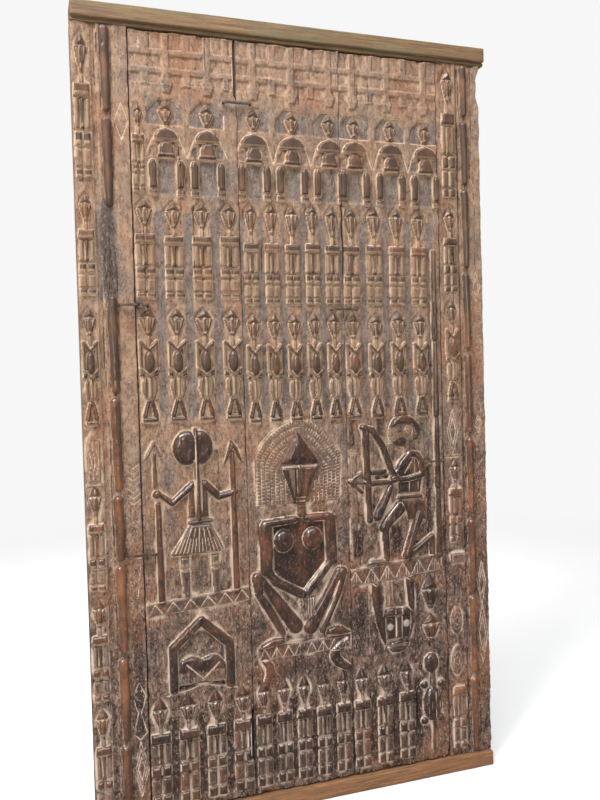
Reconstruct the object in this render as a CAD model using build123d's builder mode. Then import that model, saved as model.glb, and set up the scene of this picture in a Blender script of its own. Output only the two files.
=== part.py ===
from build123d import *
import os
from math import hypot

# Carved plank door hung in its own wooden frame, in millimetres. Z is up, the carved side
# looks towards -Y and the boards' carving ground lies on Y = 0. X = 0 is the frame's middle
# and Z = 0 the underside of the sill.

# Widths across the front, from the left jamb to the right one
jamb_left_width = 125.0
jamb_right_width = 126.0
hanging_gap = 3.0
plank_left_width = 253.0
plank_middle_width = 264.0
plank_right_width = 273.0
plank_joint = 1.5

# Thickness of the boards and the beams
jamb_depth = 60.0
leaf_thickness = 34.0
sill_height = 40.0
lintel_height = 38.0
lintel_lip = 8.0
lip_proud = 4.0
beam_proud = 13.0
lintel_overhang = 14.0

# Heights of the carved rows, from the foot of the leaf to its top
base_row = 288.0
arch_row = 188.0
band_row = 36.0
scene_row = 418.0
belly_row = 272.0
block_row = 250.0
niche_row = 248.0
fret_row = 140.0
foot_gap = 3.0
top_gap = 4.0
row_drop = 12.0

# Depths of the carving
low_relief = 4.0
pad_relief = 8.0
ridge_relief = 11.0
dome_rise = 13.0
recess_depth = 4.0
pad_seat = 6.0
rod_radius = 12.0
rod_rise = 9.0
rod_gap = 5.0
arris = 1.0

# Jambs: a figure strip, a groove, a half-round bead and the mortise joints
figure_strip = 38.0
strip_left = 21.0
groove_left = 50.0
groove_left_width = 16.0
bead_left = 74.0
strip_right = 31.0
groove_right = 59.0
groove_right_width = 7.0
bead_right = 77.0
tenon_width = 60.0
tenon_depth = 24.0
tenon_length = 26.0
tenon_clearance = 0.3
peg_radius = 6.0
peg_clearance = 0.1
peg_length = 52.0

# Forged square iron bar: staples over the plank joints, linked-eye hinges and the pull
bar = 4.6
bar_clearance = 0.1
bar_bend = 3.0
staple_span = 66.0
staple_leg = 24.0
eye_radius = 7.5
eye_drop = 1.5
hinge_reach_jamb = 38.0
hinge_reach_leaf = 28.0
pull_span = 34.0
pull_stand_off = 20.0

# Ledges and nails on the back of the leaf
ledge_height = 56.0
ledge_thickness = 24.0
ledge_inset = 34.0
nail_width = 4.0
nail_head_width = 9.0
nail_head = 2.0
nail_bite = 22.0
nail_spread = 12.0

# Places worked out from the sizes above
leaf_foot = sill_height + foot_gap
leaf_height = sum([base_row, arch_row, band_row, scene_row, belly_row, block_row, niche_row, fret_row])
leaf_top = leaf_foot + leaf_height
lintel_foot = leaf_top + top_gap
beam_foot = lintel_foot + lintel_lip
lintel_top = beam_foot + lintel_height
leaf_width = plank_left_width + plank_middle_width + plank_right_width + 2 * plank_joint
frame_width = jamb_left_width + jamb_right_width + leaf_width + 2 * hanging_gap
frame_left = -frame_width / 2
frame_right = frame_width / 2
leaf_left = frame_left + jamb_left_width + hanging_gap
leaf_right = leaf_left + leaf_width
left_edge = leaf_left + plank_left_width
middle_left = left_edge + plank_joint
middle_right = middle_left + plank_middle_width
right_left = middle_right + plank_joint
joint_left = (left_edge + middle_left) / 2
joint_right = (middle_right + right_left) / 2
jamb_height = lintel_foot - sill_height
base_z = leaf_foot
arch_z = base_z + base_row
band_z = arch_z + arch_row
scene_z = band_z + band_row
belly_z = scene_z + scene_row
block_z = belly_z + belly_row
niche_z = block_z + block_row
fret_z = niche_z + niche_row
stand_off = pad_relief + bar_bend
hinge_x = leaf_left - hanging_gap / 2
hinge_heights = [scene_z + 0.26 * scene_row, block_z + 2.0]
leaf_eye_heights = [z - eye_drop for z in hinge_heights]
staple_heights_left = [arch_z + 0.68 * arch_row, fret_z - 12.0]
staple_heights_right = [arch_z + 0.64 * arch_row, block_z - 8.0]
pull_height = scene_z + 0.68 * scene_row
pull_x = leaf_right - 6.0 - pull_span / 2
bar_hole = bar + 2 * bar_clearance
nail_hole = nail_width + 2 * bar_clearance
ledge_heights = [arch_z + 0.3 * arch_row, niche_z + 0.4 * niche_row]
ledge_left = leaf_left + ledge_inset
ledge_right = leaf_right - ledge_inset
ledge_back = leaf_thickness + ledge_thickness

# Planes of the carving: the ground, and the seat just under it that the pads grow from
front = Plane.XZ
seat = Plane.XZ.offset(-pad_seat)


# Outlines, drawn in the sketch that is open about one or more spots

def outline(points, spots=((0.0, 0.0),)):
    with Locations(*spots):
        Polygon(*points, align=None)


def block(x, z, width, height, spots=((0.0, 0.0),)):
    """An upright rectangle standing on the point (x, z)."""
    with Locations(*[(sx + x, sz + z + height / 2) for sx, sz in spots]):
        Rectangle(width, height)


def band(path, width, spots=((0.0, 0.0),)):
    """A band of one width along a path of (x, z) points, mitred at its bends."""
    sides = ([], [])
    for i, (x, z) in enumerate(path):
        normals = []
        for start, end in zip(path[max(i - 1, 0):i + 1], path[max(i, 1):i + 2]):
            dx, dz = end[0] - start[0], end[1] - start[1]
            normals.append((-dz / hypot(dx, dz), dx / hypot(dx, dz)))
        nx = sum(n[0] for n in normals) / len(normals)
        nz = sum(n[1] for n in normals) / len(normals)
        reach = width / 2 / (nx * nx + nz * nz)
        sides[0].append((x + nx * reach, z + nz * reach))
        sides[1].append((x - nx * reach, z - nz * reach))
    outline(sides[0] + sides[1][::-1], spots)


def oval(half_width, half_height):
    """An eight-sided oval about the origin, as a knife leaves it."""
    return [(px * half_width, pz * half_height)
            for px, pz in ((1, 0.4), (0.45, 1), (-0.45, 1), (-1, 0.4), (-1, -0.4), (-0.45, -1),
                           (0.45, -1), (1, -0.4))]


def spread(left, width, count):
    """Middles of equal cells side by side."""
    return [left + width * (i + 0.5) / count for i in range(count)]


def on_row(xs, z):
    return [(x, z) for x in xs]


def up_column(x, zs):
    return [(x, z) for z in zs]


def drawn_in(x, z, across=1.0, up=1.0):
    """Puts points drawn about a panel's middle foot on the board, stretched to its panel."""
    return lambda points: [(x + px * across, z + pz * up) for px, pz in points]


# Heads: a face narrowing to its chin under a three-cornered crown, both as wide as width

def face(spots, width, chin, brow, _):
    outline([(-0.2 * width, chin), (0.2 * width, chin), (0.45 * width, brow), (-0.45 * width, brow)], spots)


def crown(spots, width, _, brow, top):
    outline([(-0.5 * width, brow), (0.5 * width, brow), (0.0, top)], spots)


def heads(xs, z, pitch, height, shares):
    """The heads of one row; shares are the chin, the brow and the top of the crown."""
    return (on_row(xs, z), 0.58 * pitch, *[share * height for share in shares])


def niche_heads(xs, z, width):
    return (on_row(xs, z), 0.36 * width, *[share * niche_row for share in niche_head])


block_head = (0.74, 0.90, 0.995)
base_head = (0.70, 0.84, 0.93)
belly_head = (0.75, 0.88, 0.985)
niche_head = (0.715, 0.83, 0.94)


# Square-cut standing figures: legs is their share of the height

def block_figures(spots, pitch, height, legs):
    for side in (-0.19, 0.19):
        block(side * pitch, 0.06 * height, 0.27 * pitch, (legs + 0.035) * height, spots)
    half, shoulder = 0.08 * pitch, 0.35 * pitch
    outline(
        [(-half, (legs + 0.12) * height), (half, (legs + 0.12) * height), (half, 0.595 * height),
         (shoulder, 0.595 * height), (shoulder, 0.665 * height), (-shoulder, 0.665 * height),
         (-shoulder, 0.595 * height), (-half, 0.595 * height)],
        spots,
    )


# Round-bellied standing figures on a plinth

def belly_figures(spots, pitch, height):
    w, h = pitch / 62.0, height / 272.0
    block(0, 4 * h, 46 * w, 12 * h, spots)
    for side in (-w, w):
        outline([(side * 19, 16 * h), (side * 10, 62 * h), (side * 3, 62 * h), (side * 8, 16 * h)], spots)
    outline([(-11 * w, 62 * h), (11 * w, 62 * h), (21 * w, 84 * h), (16 * w, 108 * h),
             (-16 * w, 108 * h), (-21 * w, 84 * h)], spots)
    band([(-21 * w, 190 * h), (0, 172 * h), (21 * w, 190 * h)], 11 * h, spots)


def bellies(spots, pitch, height):
    w, h = pitch / 62.0, height / 272.0
    outline([(-9 * w, 120 * h), (9 * w, 120 * h), (15 * w, 146 * h), (6 * w, 166 * h),
             (-6 * w, 166 * h), (-15 * w, 146 * h)], spots)


# Gabled niches, each with a pair of domed bodies, joined arms and two legs under its head

def niche_recesses(spots, width, height):
    outline(
        [(-0.5 * width, 0.70 * height), (0.5 * width, 0.70 * height), (0.5 * width, 0.86 * height),
         (0.0, 0.975 * height), (-0.5 * width, 0.86 * height)],
        spots,
    )


def niche_figures(spots, width, height):
    for half, low, high in ((0.46, 0.53, 0.68), (0.20, 0.375, 0.52)):
        outline([(-half * width, low * height), (half * width, low * height),
                 (0.45 * half * width, high * height), (-0.45 * half * width, high * height)], spots)
    for side in (-width, width):
        block(side * 0.37, 0.05 * height, 0.19 * width, 0.33 * height, spots)
        band([(side * 0.50, 0.575 * height), (side * 0.64, 0.42 * height)], 0.10 * width, spots)


# Fret of posts and cross-bars above the niches

def fret(left, right, post_xs, foot, height):
    for level, depth in ((0.66, 0.10), (0.35, 0.11)):
        block((left + right) / 2, foot + level * height, right - left - 10, depth * height)
    posts = on_row(post_xs, foot)
    block(0, 0.0, 18, 0.98 * height, posts)
    outline([(0, 0.34 * height), (-17, 0.17 * height), (0, 0.01 * height), (17, 0.17 * height)], posts)
    half = (post_xs[1] - post_xs[0]) / 2
    between = [x + half for x in [post_xs[0] - 2 * half, *post_xs] if left + 14 < x + half < right - 14]
    for low, high in ((0.13, 0.36), (0.75, 0.98)):
        block(0, low * height, 21, (high - low) * height, on_row(between, foot))


def trim(left, right, foot, top):
    """Keeps a sketch's carving a little inside its board's edges."""
    with Locations(((left + right) / 2, (foot + top) / 2)):
        Rectangle(right - left - 2 * arris, top - foot, mode=Mode.INTERSECT)


def triangle_band(left, width, foot, height, count):
    """A row of upright triangles side by side."""
    half = 0.44 * width / count
    outline([(-half, 0.12 * height), (half, 0.12 * height), (0, 0.88 * height)],
            on_row(spread(left, width, count), foot))


# Solids added to the part that is open

def blank(left, right, foot, top, thickness):
    """A plain board between two sides and two heights, with its face on Y = 0."""
    with BuildSketch(front) as face_sketch:
        with Locations(((left + right) / 2, (foot + top) / 2)):
            Rectangle(right - left, top - foot)
    extrude(face_sketch.sketch, amount=-thickness)


def dome(spot, radius, rise):
    """A shallow dome on the carving ground, pared down to it in twelve cuts."""
    sections = []
    for depth, share in ((-1.0, 1.0), (rise, 0.55)):
        with BuildSketch(Plane.XZ.offset(depth)) as ring:
            with Locations(spot):
                RegularPolygon(share * radius, 12)
        sections.append(ring.sketch)
    loft(sections, ruled=True, clean=False)


def half_round(x, foot, joints, top):
    """A half-round bar up the face, parted by a gap at each of the joints."""
    with BuildSketch(Plane.XY.offset(foot)) as section_sketch:
        with Locations((x, rod_radius - rod_rise)):
            Circle(rod_radius)
    extrude(section_sketch.sketch, amount=top - foot, clean=False)
    with BuildSketch(front) as gaps:
        with Locations(*up_column(x, joints)):
            Rectangle(2 * rod_radius, rod_gap)
    extrude(gaps.sketch, amount=rod_rise + 1, mode=Mode.SUBTRACT, clean=False)


def square_holes(spots, width, plane, depth):
    """Square holes for bar or nails, cut from a plane along its normal."""
    with BuildSketch(plane) as mouths:
        with Locations(*spots):
            Rectangle(width, width)
    extrude(mouths.sketch, amount=depth, mode=Mode.SUBTRACT, clean=False)


def bar_holes(spots):
    """Holes for staple legs, from above the carving down into the board."""
    square_holes(spots, bar_hole, Plane.XZ.offset(ridge_relief), -ridge_relief - staple_leg)


def nail_spots(left, right):
    """Two nails to each board on each ledge, side by side and a little out of level."""
    inset = 0.3 * (right - left)
    pairs = ((left + inset, nail_spread), (right - inset, -nail_spread))
    return [(x, z + shift) for z in ledge_heights for x, shift in pairs]


def nail_holes(left, right):
    square_holes(nail_spots(left, right), nail_hole, Plane.XZ.offset(-leaf_thickness), nail_bite)


# Left plank: two niches, four figures to a row, the spear bearer, a zigzag and a gabled house
left_middle = leaf_left + plank_left_width / 2
left_pitch = plank_left_width / 3.8
left_xs = spread(leaf_left - 8.0, plank_left_width + 16.0, 4)
left_niches = [leaf_left + 0.32 * plank_left_width, leaf_left + 0.71 * plank_left_width]
left_niche_width = 0.31 * plank_left_width
side_spots = [(leaf_left + 17.0, niche_z - 2.0)]
side_pitch = 41.0
side_height = 0.9 * niche_row
bearer = drawn_in(left_middle, scene_z, plank_left_width / 253.0, scene_row / 418.0)
house = drawn_in(left_middle, arch_z, plank_left_width / 253.0, arch_row / 188.0)
left_heads = [
    niche_heads(left_niches, niche_z, left_niche_width),
    (side_spots, 0.6 * side_pitch, 0.74 * side_height, 0.90 * side_height, side_height),
    heads(left_xs, block_z, left_pitch, block_row, block_head),
    heads(left_xs, belly_z, left_pitch, belly_row, belly_head),
    heads(left_xs, base_z, left_pitch, base_row, base_head),
    (house([(3, 0)]), 30.0, 0.43 * arch_row, 0.58 * arch_row, 0.74 * arch_row),
]

with BuildPart() as plank_left:
    blank(leaf_left, left_edge, leaf_foot, leaf_top, leaf_thickness)
    nail_holes(leaf_left, left_edge)
    # Daylight gaps worn into the joint
    with BuildSketch(front):
        Polygon((left_edge + 1, leaf_top + 1), (left_edge - 5, leaf_top + 1),
                (left_edge - 9, fret_z + 0.6 * fret_row), (left_edge - 7, fret_z + 0.36 * fret_row),
                (left_edge + 1, fret_z), align=None)
        Polygon((left_edge + 1, base_z + 0.31 * base_row), (left_edge + 1, base_z + 0.74 * base_row),
                (left_edge - 8, base_z + 0.64 * base_row), (left_edge - 6, base_z + 0.36 * base_row),
                align=None)
    extrude(amount=-leaf_thickness, mode=Mode.SUBTRACT, clean=False)
    with BuildSketch(front):
        niche_recesses(on_row(left_niches, niche_z), left_niche_width, niche_row)
    extrude(amount=-recess_depth, mode=Mode.SUBTRACT, clean=False)
    with BuildSketch(front):
        triangle_band(leaf_left, plank_left_width, band_z, band_row, 8)
        outline(house([(-60, 14), (66, 14), (62, 60), (5, 26), (-58, 60)]))
    extrude(amount=low_relief, clean=False)
    with BuildSketch(seat):
        fret(leaf_left, left_edge, left_niches, fret_z, fret_row)
        niche_figures(on_row(left_niches, niche_z), left_niche_width, niche_row)
        block_figures(side_spots, side_pitch, side_height, 0.25)
        block_figures(on_row(left_xs, block_z), left_pitch, block_row, 0.25)
        belly_figures(on_row(left_xs, belly_z), left_pitch, belly_row)
        block_figures(on_row(left_xs, base_z), left_pitch, base_row, 0.31)
        for head in left_heads:
            face(*head)
        # The spear bearer's arms, trunk, skirt and legs
        band(bearer([(-6, 272), (-51, 229), (-86, 249)]), 13)
        band(bearer([(19, 272), (60, 231), (98, 246)]), 13)
        outline(bearer([(-14, 184), (28, 184), (28, 276), (-14, 276)]))
        outline(bearer([(-59, 100), (66, 100), (43, 172), (-22, 172)]))
        outline(bearer([(-33, 0), (-20, 0), (-16, 92), (-38, 92)]))
        outline(bearer([(39, 0), (50, 0), (55, 92), (33, 92)]))
        # The two spears
        band(bearer([(-91, 0), (-91, 340)]), 12)
        band(bearer([(94, 0), (92, 335)]), 12)
        band(bearer([(-109, 334), (-91, 368), (-75, 334)]), 11)
        band(bearer([(73, 312), (92, 366), (116, 308)]), 11)
        # The house's gable
        band(house([(-71, 4), (-70, 98), (4, 162), (75, 98), (76, 4)]), 17)
        trim(leaf_left, left_edge, leaf_foot, leaf_top)
    extrude(amount=pad_seat + pad_relief, clean=False)
    dome(*bearer([(-1.5, 356)]), 43.0, dome_rise)
    with BuildSketch(seat):
        for head in left_heads:
            crown(*head)
        bellies(on_row(left_xs, belly_z), left_pitch, belly_row)
        outline(bearer([(-3, 186), (16, 186), (16, 300), (-3, 300)]))
    extrude(amount=pad_seat + ridge_relief)
    bar_holes([(hinge_x + hinge_reach_leaf, z) for z in leaf_eye_heights]
              + [(joint_left - staple_span / 2, z) for z in staple_heights_left])
plank_left.part.label = "plank_left"


# Middle plank: three niches, five figures to a row and the arched shrine with its seated mother
middle_middle = middle_left + plank_middle_width / 2
middle_pitch = plank_middle_width / 5
middle_xs = spread(middle_left, plank_middle_width, 5)
middle_niches = [middle_left + share * plank_middle_width for share in (0.15, 0.52, 0.89)]
middle_niche_width = 0.29 * plank_middle_width
shrine_z = base_z + 0.927 * base_row
shrine_up = (belly_z - row_drop - 2.0 - shrine_z) / 660.0
shrine = drawn_in(middle_middle, shrine_z, plank_middle_width / 264.0, shrine_up)
middle_heads = [
    niche_heads(middle_niches, niche_z, middle_niche_width),
    heads(middle_xs, block_z - row_drop, middle_pitch, block_row, block_head),
    heads(middle_xs, belly_z - row_drop, middle_pitch, belly_row, belly_head),
    heads(middle_xs, base_z, middle_pitch, 0.97 * base_row, base_head),
    (shrine([(3, 0)]), 112.0, 447 * shrine_up, 540 * shrine_up, 625 * shrine_up),
]

with BuildPart() as plank_middle:
    blank(middle_left, middle_right, leaf_foot, leaf_top, leaf_thickness)
    nail_holes(middle_left, middle_right)
    with BuildSketch(front):
        niche_recesses(on_row(middle_niches, niche_z), middle_niche_width, niche_row)
    extrude(amount=-recess_depth, mode=Mode.SUBTRACT, clean=False)
    # The shrine's round-headed back and the mat under its stool
    with BuildSketch(front):
        with BuildLine():
            arch = ThreePointArc(*shrine([(113, 588), (0, 660), (-113, 588)]))
            Polyline(arch @ 1, *shrine([(-112, 437), (112, 437)]), arch @ 0)
        make_face()
        outline(shrine([(-80, 20), (75, 20), (75, 60), (-80, 60)]))
    extrude(amount=low_relief, clean=False)
    with BuildSketch(seat):
        fret(middle_left, middle_right, middle_niches, fret_z, fret_row)
        niche_figures(on_row(middle_niches, niche_z), middle_niche_width, niche_row)
        block_figures(on_row(middle_xs, block_z - row_drop), middle_pitch, block_row, 0.25)
        belly_figures(on_row(middle_xs, belly_z - row_drop), middle_pitch, belly_row)
        block_figures(on_row(middle_xs, base_z), middle_pitch, 0.97 * base_row, 0.31)
        for head in middle_heads:
            face(*head)
        # The mother's arms, apron, thighs, shins and feet
        band(shrine([(-8, 405), (-93, 405), (-93, 300), (-75, 255), (-15, 212)]), 26)
        band(shrine([(10, 405), (88, 405), (88, 320), (72, 262), (10, 212)]), 26)
        outline(shrine([(-8, 145), (30, 145), (38, 208), (-18, 208)]))
        band(shrine([(-12, 122), (-108, 240), (-60, 112), (-112, 105)]), 20)
        band(shrine([(22, 128), (104, 262), (62, 116), (126, 110)]), 20)
        # The stool's seat and its two curved legs
        outline(shrine([(-118, 66), (132, 66), (132, 100), (-118, 100)]))
        outline(shrine([(-130, 95), (-114, 45), (-108, 2), (-84, 20), (-82, 64), (-95, 80)]))
        outline(shrine([(90, 66), (77, 40), (85, 22), (125, 8), (102, 45), (108, 66)]))
        trim(middle_left, middle_right, leaf_foot, leaf_top)
    extrude(amount=pad_seat + pad_relief, clean=False)
    for spot in shrine([(-46, 357), (32, 357)]):
        dome(spot, 29.0, dome_rise)
    with BuildSketch(seat):
        for head in middle_heads:
            crown(*head)
        bellies(on_row(middle_xs, belly_z - row_drop), middle_pitch, belly_row)
        outline(shrine([(-9, 455), (15, 455), (12, 540), (-6, 540)]))
    extrude(amount=pad_seat + ridge_relief)
    bar_holes([(joint_left + staple_span / 2, z) for z in staple_heights_left]
              + [(joint_right - staple_span / 2, z) for z in staple_heights_right])
plank_middle.part.label = "plank_middle"


# Right plank: three niches, the archer beside a jointed rod, hatched teeth, a horned head and masks
right_pitch = plank_right_width / 4.2
right_xs = spread(right_left - 8.0, plank_right_width - 20.0, 4)
right_base_xs = spread(right_left - 8.0, 0.7 * plank_right_width, 3)
right_niches = [right_left + share * plank_right_width for share in (0.14, 0.51, 0.87)]
right_niche_width = 0.28 * plank_right_width
rod_x = leaf_right - 18.0
archer_z = scene_z + 0.08 * scene_row
archer_up = (belly_z - row_drop - archer_z) / 380.0
archer = drawn_in(right_left + 0.5 * plank_right_width, archer_z, plank_right_width / 273.0, archer_up)
horned = drawn_in(right_left + 0.5 * plank_right_width, arch_z - 0.15 * arch_row,
                  plank_right_width / 273.0, arch_row / 188.0)
side_column = right_left + 0.82 * plank_right_width
lizard = drawn_in(side_column, base_z)
right_heads = [
    niche_heads(right_niches, niche_z, right_niche_width),
    heads(right_xs, block_z - row_drop, right_pitch, block_row, block_head),
    heads(right_xs, belly_z - row_drop, right_pitch, belly_row, belly_head),
    heads(right_base_xs, base_z, right_pitch, 0.97 * base_row, base_head),
    ([(side_column, arch_z)], 50.0, 0.39 * arch_row, 0.69 * arch_row, 0.88 * arch_row),
    ([(side_column, arch_z)], 46.0, -0.05 * arch_row, 0.18 * arch_row, 0.37 * arch_row),
]

with BuildPart() as plank_right:
    blank(right_left, leaf_right, leaf_foot, leaf_top, leaf_thickness)
    nail_holes(right_left, leaf_right)
    # A split that goes right through near the foot
    with BuildSketch(front):
        band([(right_left + 178, base_z + 109), (right_left + 183, base_z + 187)], 6)
    extrude(amount=-leaf_thickness, mode=Mode.SUBTRACT, clean=False)
    with BuildSketch(front):
        niche_recesses(on_row(right_niches, niche_z), right_niche_width, niche_row)
    extrude(amount=-recess_depth, mode=Mode.SUBTRACT, clean=False)
    with BuildSketch(front):
        triangle_band(right_left, 0.95 * plank_right_width, band_z - 18, 1.2 * band_row, 6)
        outline(archer([(-130, 10), (-110, 10), (-110, 370), (-130, 370)]))
        outline(horned([(-60, 60), (-40, 18), (-15, 5), (15, 5), (32, 30), (38, 100), (-47, 100)]))
    extrude(amount=low_relief, clean=False)
    with BuildSketch(seat):
        fret(right_left, leaf_right, right_niches, fret_z, fret_row)
        niche_figures(on_row(right_niches, niche_z), right_niche_width, niche_row)
        block_figures(on_row(right_xs, block_z - row_drop), right_pitch, block_row, 0.25)
        belly_figures(on_row(right_xs, belly_z - row_drop), right_pitch, belly_row)
        block_figures(on_row(right_base_xs, base_z), right_pitch, 0.97 * base_row, 0.31)
        for head in right_heads:
            face(*head)
        # The archer's trunk, arms and legs, the hind one kneeling
        outline(archer([(14, 262), (5, 278), (30, 302), (60, 282), (72, 262), (62, 122), (12, 122)]))
        band(archer([(30, 272), (-15, 222)]), 18)
        band(archer([(66, 272), (76, 212), (-20, 212)]), 17)
        band(archer([(30, 140), (-38, 98), (-30, 5)]), 24)
        band(archer([(58, 125), (22, 20), (96, 52), (103, 3)]), 17)
        # The drawn bow, its string and the arrow
        band(archer([(-95, 355), (-50, 318), (-19, 240), (-25, 180), (-60, 112)]), 16)
        outline(archer([(-84, 104), (-74, 104), (-74, 352), (-84, 352)]))
        outline(archer([(-132, 205), (-25, 205), (-25, 216), (-132, 216)]))
        band(archer([(-102, 236), (-132, 211), (-98, 184)]), 12)
        # The horned head's brow and horns, and the lizard
        outline(horned([(-48, 104), (24, 104), (28, 122), (-42, 124)]))
        outline(horned([(-80, 190), (-77, 130), (-62, 62), (-40, 108), (-54, 190)]))
        outline(horned([(24, 104), (42, 104), (45, 200), (26, 200)]))
        outline(oval(9, 17), lizard([(2, 252)]))
        outline(oval(12, 24), lizard([(2, 146)]))
        band(lizard([(-22, 186), (2, 168), (26, 188)]), 8)
        band(lizard([(-24, 100), (2, 124), (27, 98)]), 8)
        outline(lizard([(-4, 6), (4, 6), (10, 124), (-6, 124)]))
        outline(lizard([(-4, 165), (8, 165), (5, 238), (-1, 238)]))
        trim(right_left, leaf_right, leaf_foot, leaf_top)
    extrude(amount=pad_seat + pad_relief, clean=False)
    dome(*archer([(20, 340)]), 40.0, dome_rise)
    half_round(rod_x, archer_z, [archer_z + 0.52 * scene_row, belly_z, belly_z + 0.39 * belly_row,
                                 belly_z + 0.77 * belly_row], block_z + 0.57 * block_row)
    with BuildSketch(seat):
        for head in right_heads:
            crown(*head)
        bellies(on_row(right_xs, belly_z - row_drop), right_pitch, belly_row)
        outline(horned([(-17, 30), (-3, 30), (-5, 108), (-15, 108)]))
        outline(archer([(0, 156), (68, 156), (66, 167), (2, 167)]))
    extrude(amount=pad_seat + ridge_relief)
    bar_holes([(joint_right + staple_span / 2, z) for z in staple_heights_right]
              + [(pull_x + side * pull_span / 2, pull_height) for side in (-1, 1)])
plank_right.part.label = "plank_right"


# Jambs: a strip of standing figures, a groove and a jointed bead on each
jamb_pitch = 1.42 * figure_strip
jamb_up = jamb_height / 1847.0
peg_heights = [sill_height - tenon_length / 2, lintel_foot + tenon_length / 2]
tenon_front = (jamb_depth - tenon_depth) / 2


def jamb_blank(left, width):
    """A jamb's board with a stub tenon at each end, each bored for its peg."""
    blank(left, left + width, sill_height, lintel_foot, jamb_depth)
    with BuildSketch(Plane.XZ.offset(-tenon_front)) as tenon_sketch:
        block(left + width / 2, sill_height - tenon_length, tenon_width, jamb_height + 2 * tenon_length)
    extrude(tenon_sketch.sketch, amount=-tenon_depth, clean=False)
    peg_holes(left + width / 2)


def peg_holes(x):
    """Eight-sided peg holes, from the frame's back to the pegs' tips."""
    with BuildSketch(Plane.XZ.offset(-jamb_depth)) as mouths:
        with Locations(*[(x, z) for z in peg_heights]):
            RegularPolygon(peg_radius + peg_clearance, 8)
    extrude(mouths.sketch, amount=peg_length, mode=Mode.SUBTRACT, clean=False)


def jamb_figures(strip_x, blocks, belly):
    """Standing figures up a jamb's strip; blocks holds the foot and height of each square-cut one."""
    figures = [(foot * jamb_up, height * jamb_up) for foot, height in blocks]
    for foot, height in figures:
        block_figures([(strip_x, sill_height + foot)], jamb_pitch, height, 0.29)
    belly_figures([(strip_x, sill_height + belly[0] * jamb_up)], jamb_pitch, belly[1] * jamb_up)


def jamb_heads(strip_x, figures, shares):
    return [heads([strip_x], sill_height + foot * jamb_up, jamb_pitch, height * jamb_up, shares)
            for foot, height in figures]


left_strip_x = frame_left + strip_left
left_blocks = [(10, 265), (275, 256), (530, 262), (1212, 250), (1470, 358)]
left_belly = (932, 270)
left_jamb_heads = [*jamb_heads(left_strip_x, left_blocks, block_head),
                   *jamb_heads(left_strip_x, [left_belly], belly_head)]
left_panel = drawn_in(left_strip_x, sill_height + 805 * jamb_up, 1.0, jamb_up)

with BuildPart() as jamb_left:
    jamb_blank(frame_left, jamb_left_width)
    with BuildSketch(front):
        block(frame_left + groove_left, sill_height, groove_left_width, jamb_height)
    extrude(amount=-recess_depth, mode=Mode.SUBTRACT, clean=False)
    with BuildSketch(front):
        outline(left_panel([(-16, 0), (16, 0), (16, 95), (0, 118), (-16, 95)]))
    extrude(amount=low_relief, clean=False)
    with BuildSketch(front):
        jamb_figures(left_strip_x, left_blocks, left_belly)
        for head in left_jamb_heads:
            face(*head)
        trim(frame_left, hinge_x, sill_height, lintel_foot)
    extrude(amount=pad_relief, clean=False)
    with BuildSketch(front):
        for head in left_jamb_heads:
            crown(*head)
        bellies([(left_strip_x, sill_height + left_belly[0] * jamb_up)], jamb_pitch,
                left_belly[1] * jamb_up)
    extrude(amount=ridge_relief, clean=False)
    half_round(frame_left + bead_left, sill_height,
               [sill_height + z * jamb_up for z in (182, 388, 605, 778, 995, 1205, 1402, 1630)],
               lintel_foot)
    with BuildSketch(front):
        with Locations(*[(hinge_x - hinge_reach_jamb, z) for z in hinge_heights]):
            Rectangle(bar_hole, bar_hole)
    extrude(amount=-staple_leg, mode=Mode.SUBTRACT)
jamb_left.part.label = "jamb_left"

right_strip_x = leaf_right + hanging_gap + strip_right
right_blocks = [(563, 238), (1230, 236), (1470, 368)]
right_belly = (955, 270)
right_jamb_heads = [*jamb_heads(right_strip_x, right_blocks, block_head),
                    *jamb_heads(right_strip_x, [right_belly], belly_head),
                    *jamb_heads(right_strip_x, [(260, 256)], block_head)]
right_panel = drawn_in(right_strip_x, sill_height, 1.0, jamb_up)

with BuildPart() as jamb_right:
    jamb_blank(leaf_right + hanging_gap, jamb_right_width)
    with BuildSketch(front):
        block(leaf_right + hanging_gap + groove_right, sill_height, groove_right_width, jamb_height)
    extrude(amount=-recess_depth, mode=Mode.SUBTRACT, clean=False)
    # The outer edge is worn away near its top
    with BuildSketch(front):
        Polygon((frame_right + 1, lintel_foot - 108), (frame_right + 1, lintel_foot - 12),
                (frame_right - 6, lintel_foot - 30), (frame_right - 8, lintel_foot - 82), align=None)
    extrude(amount=-jamb_depth, mode=Mode.SUBTRACT, clean=False)
    with BuildSketch(front):
        outline(right_panel([(0, 815), (17, 875), (0, 935), (-17, 875)]))
        block(right_strip_x, sill_height + 520 * jamb_up, 46, 28 * jamb_up)
    extrude(amount=low_relief, clean=False)
    with BuildSketch(front):
        jamb_figures(right_strip_x, [(0, 290), *right_blocks], right_belly)
        for head in right_jamb_heads:
            face(*head)
        for spot in right_panel([(0, 365), (0, 258)]):
            outline(oval(16, 34), [spot])
    extrude(amount=pad_relief, clean=False)
    with BuildSketch(front):
        for head in right_jamb_heads:
            crown(*head)
        bellies([(right_strip_x, sill_height + right_belly[0] * jamb_up)], jamb_pitch,
                right_belly[1] * jamb_up)
    extrude(amount=ridge_relief, clean=False)
    half_round(leaf_right + hanging_gap + bead_right, sill_height,
               [sill_height + z * jamb_up for z in (210, 430, 640, 860, 1085, 1300, 1520, 1700)],
               lintel_foot)
jamb_right.part.label = "jamb_right"


# Lintel and sill, with mortises for the tenons and holes for their pegs
jamb_middles = [frame_left + jamb_left_width / 2, frame_right - jamb_right_width / 2]


def mortises(foot):
    with BuildSketch(Plane.XY.offset(foot)) as mouths:
        with Locations(*[(x, jamb_depth / 2) for x in jamb_middles]):
            Rectangle(tenon_width + 2 * tenon_clearance, tenon_depth + 2 * tenon_clearance)
    extrude(mouths.sketch, amount=tenon_length + tenon_clearance, mode=Mode.SUBTRACT)
    for x in jamb_middles:
        peg_holes(x)


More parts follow.
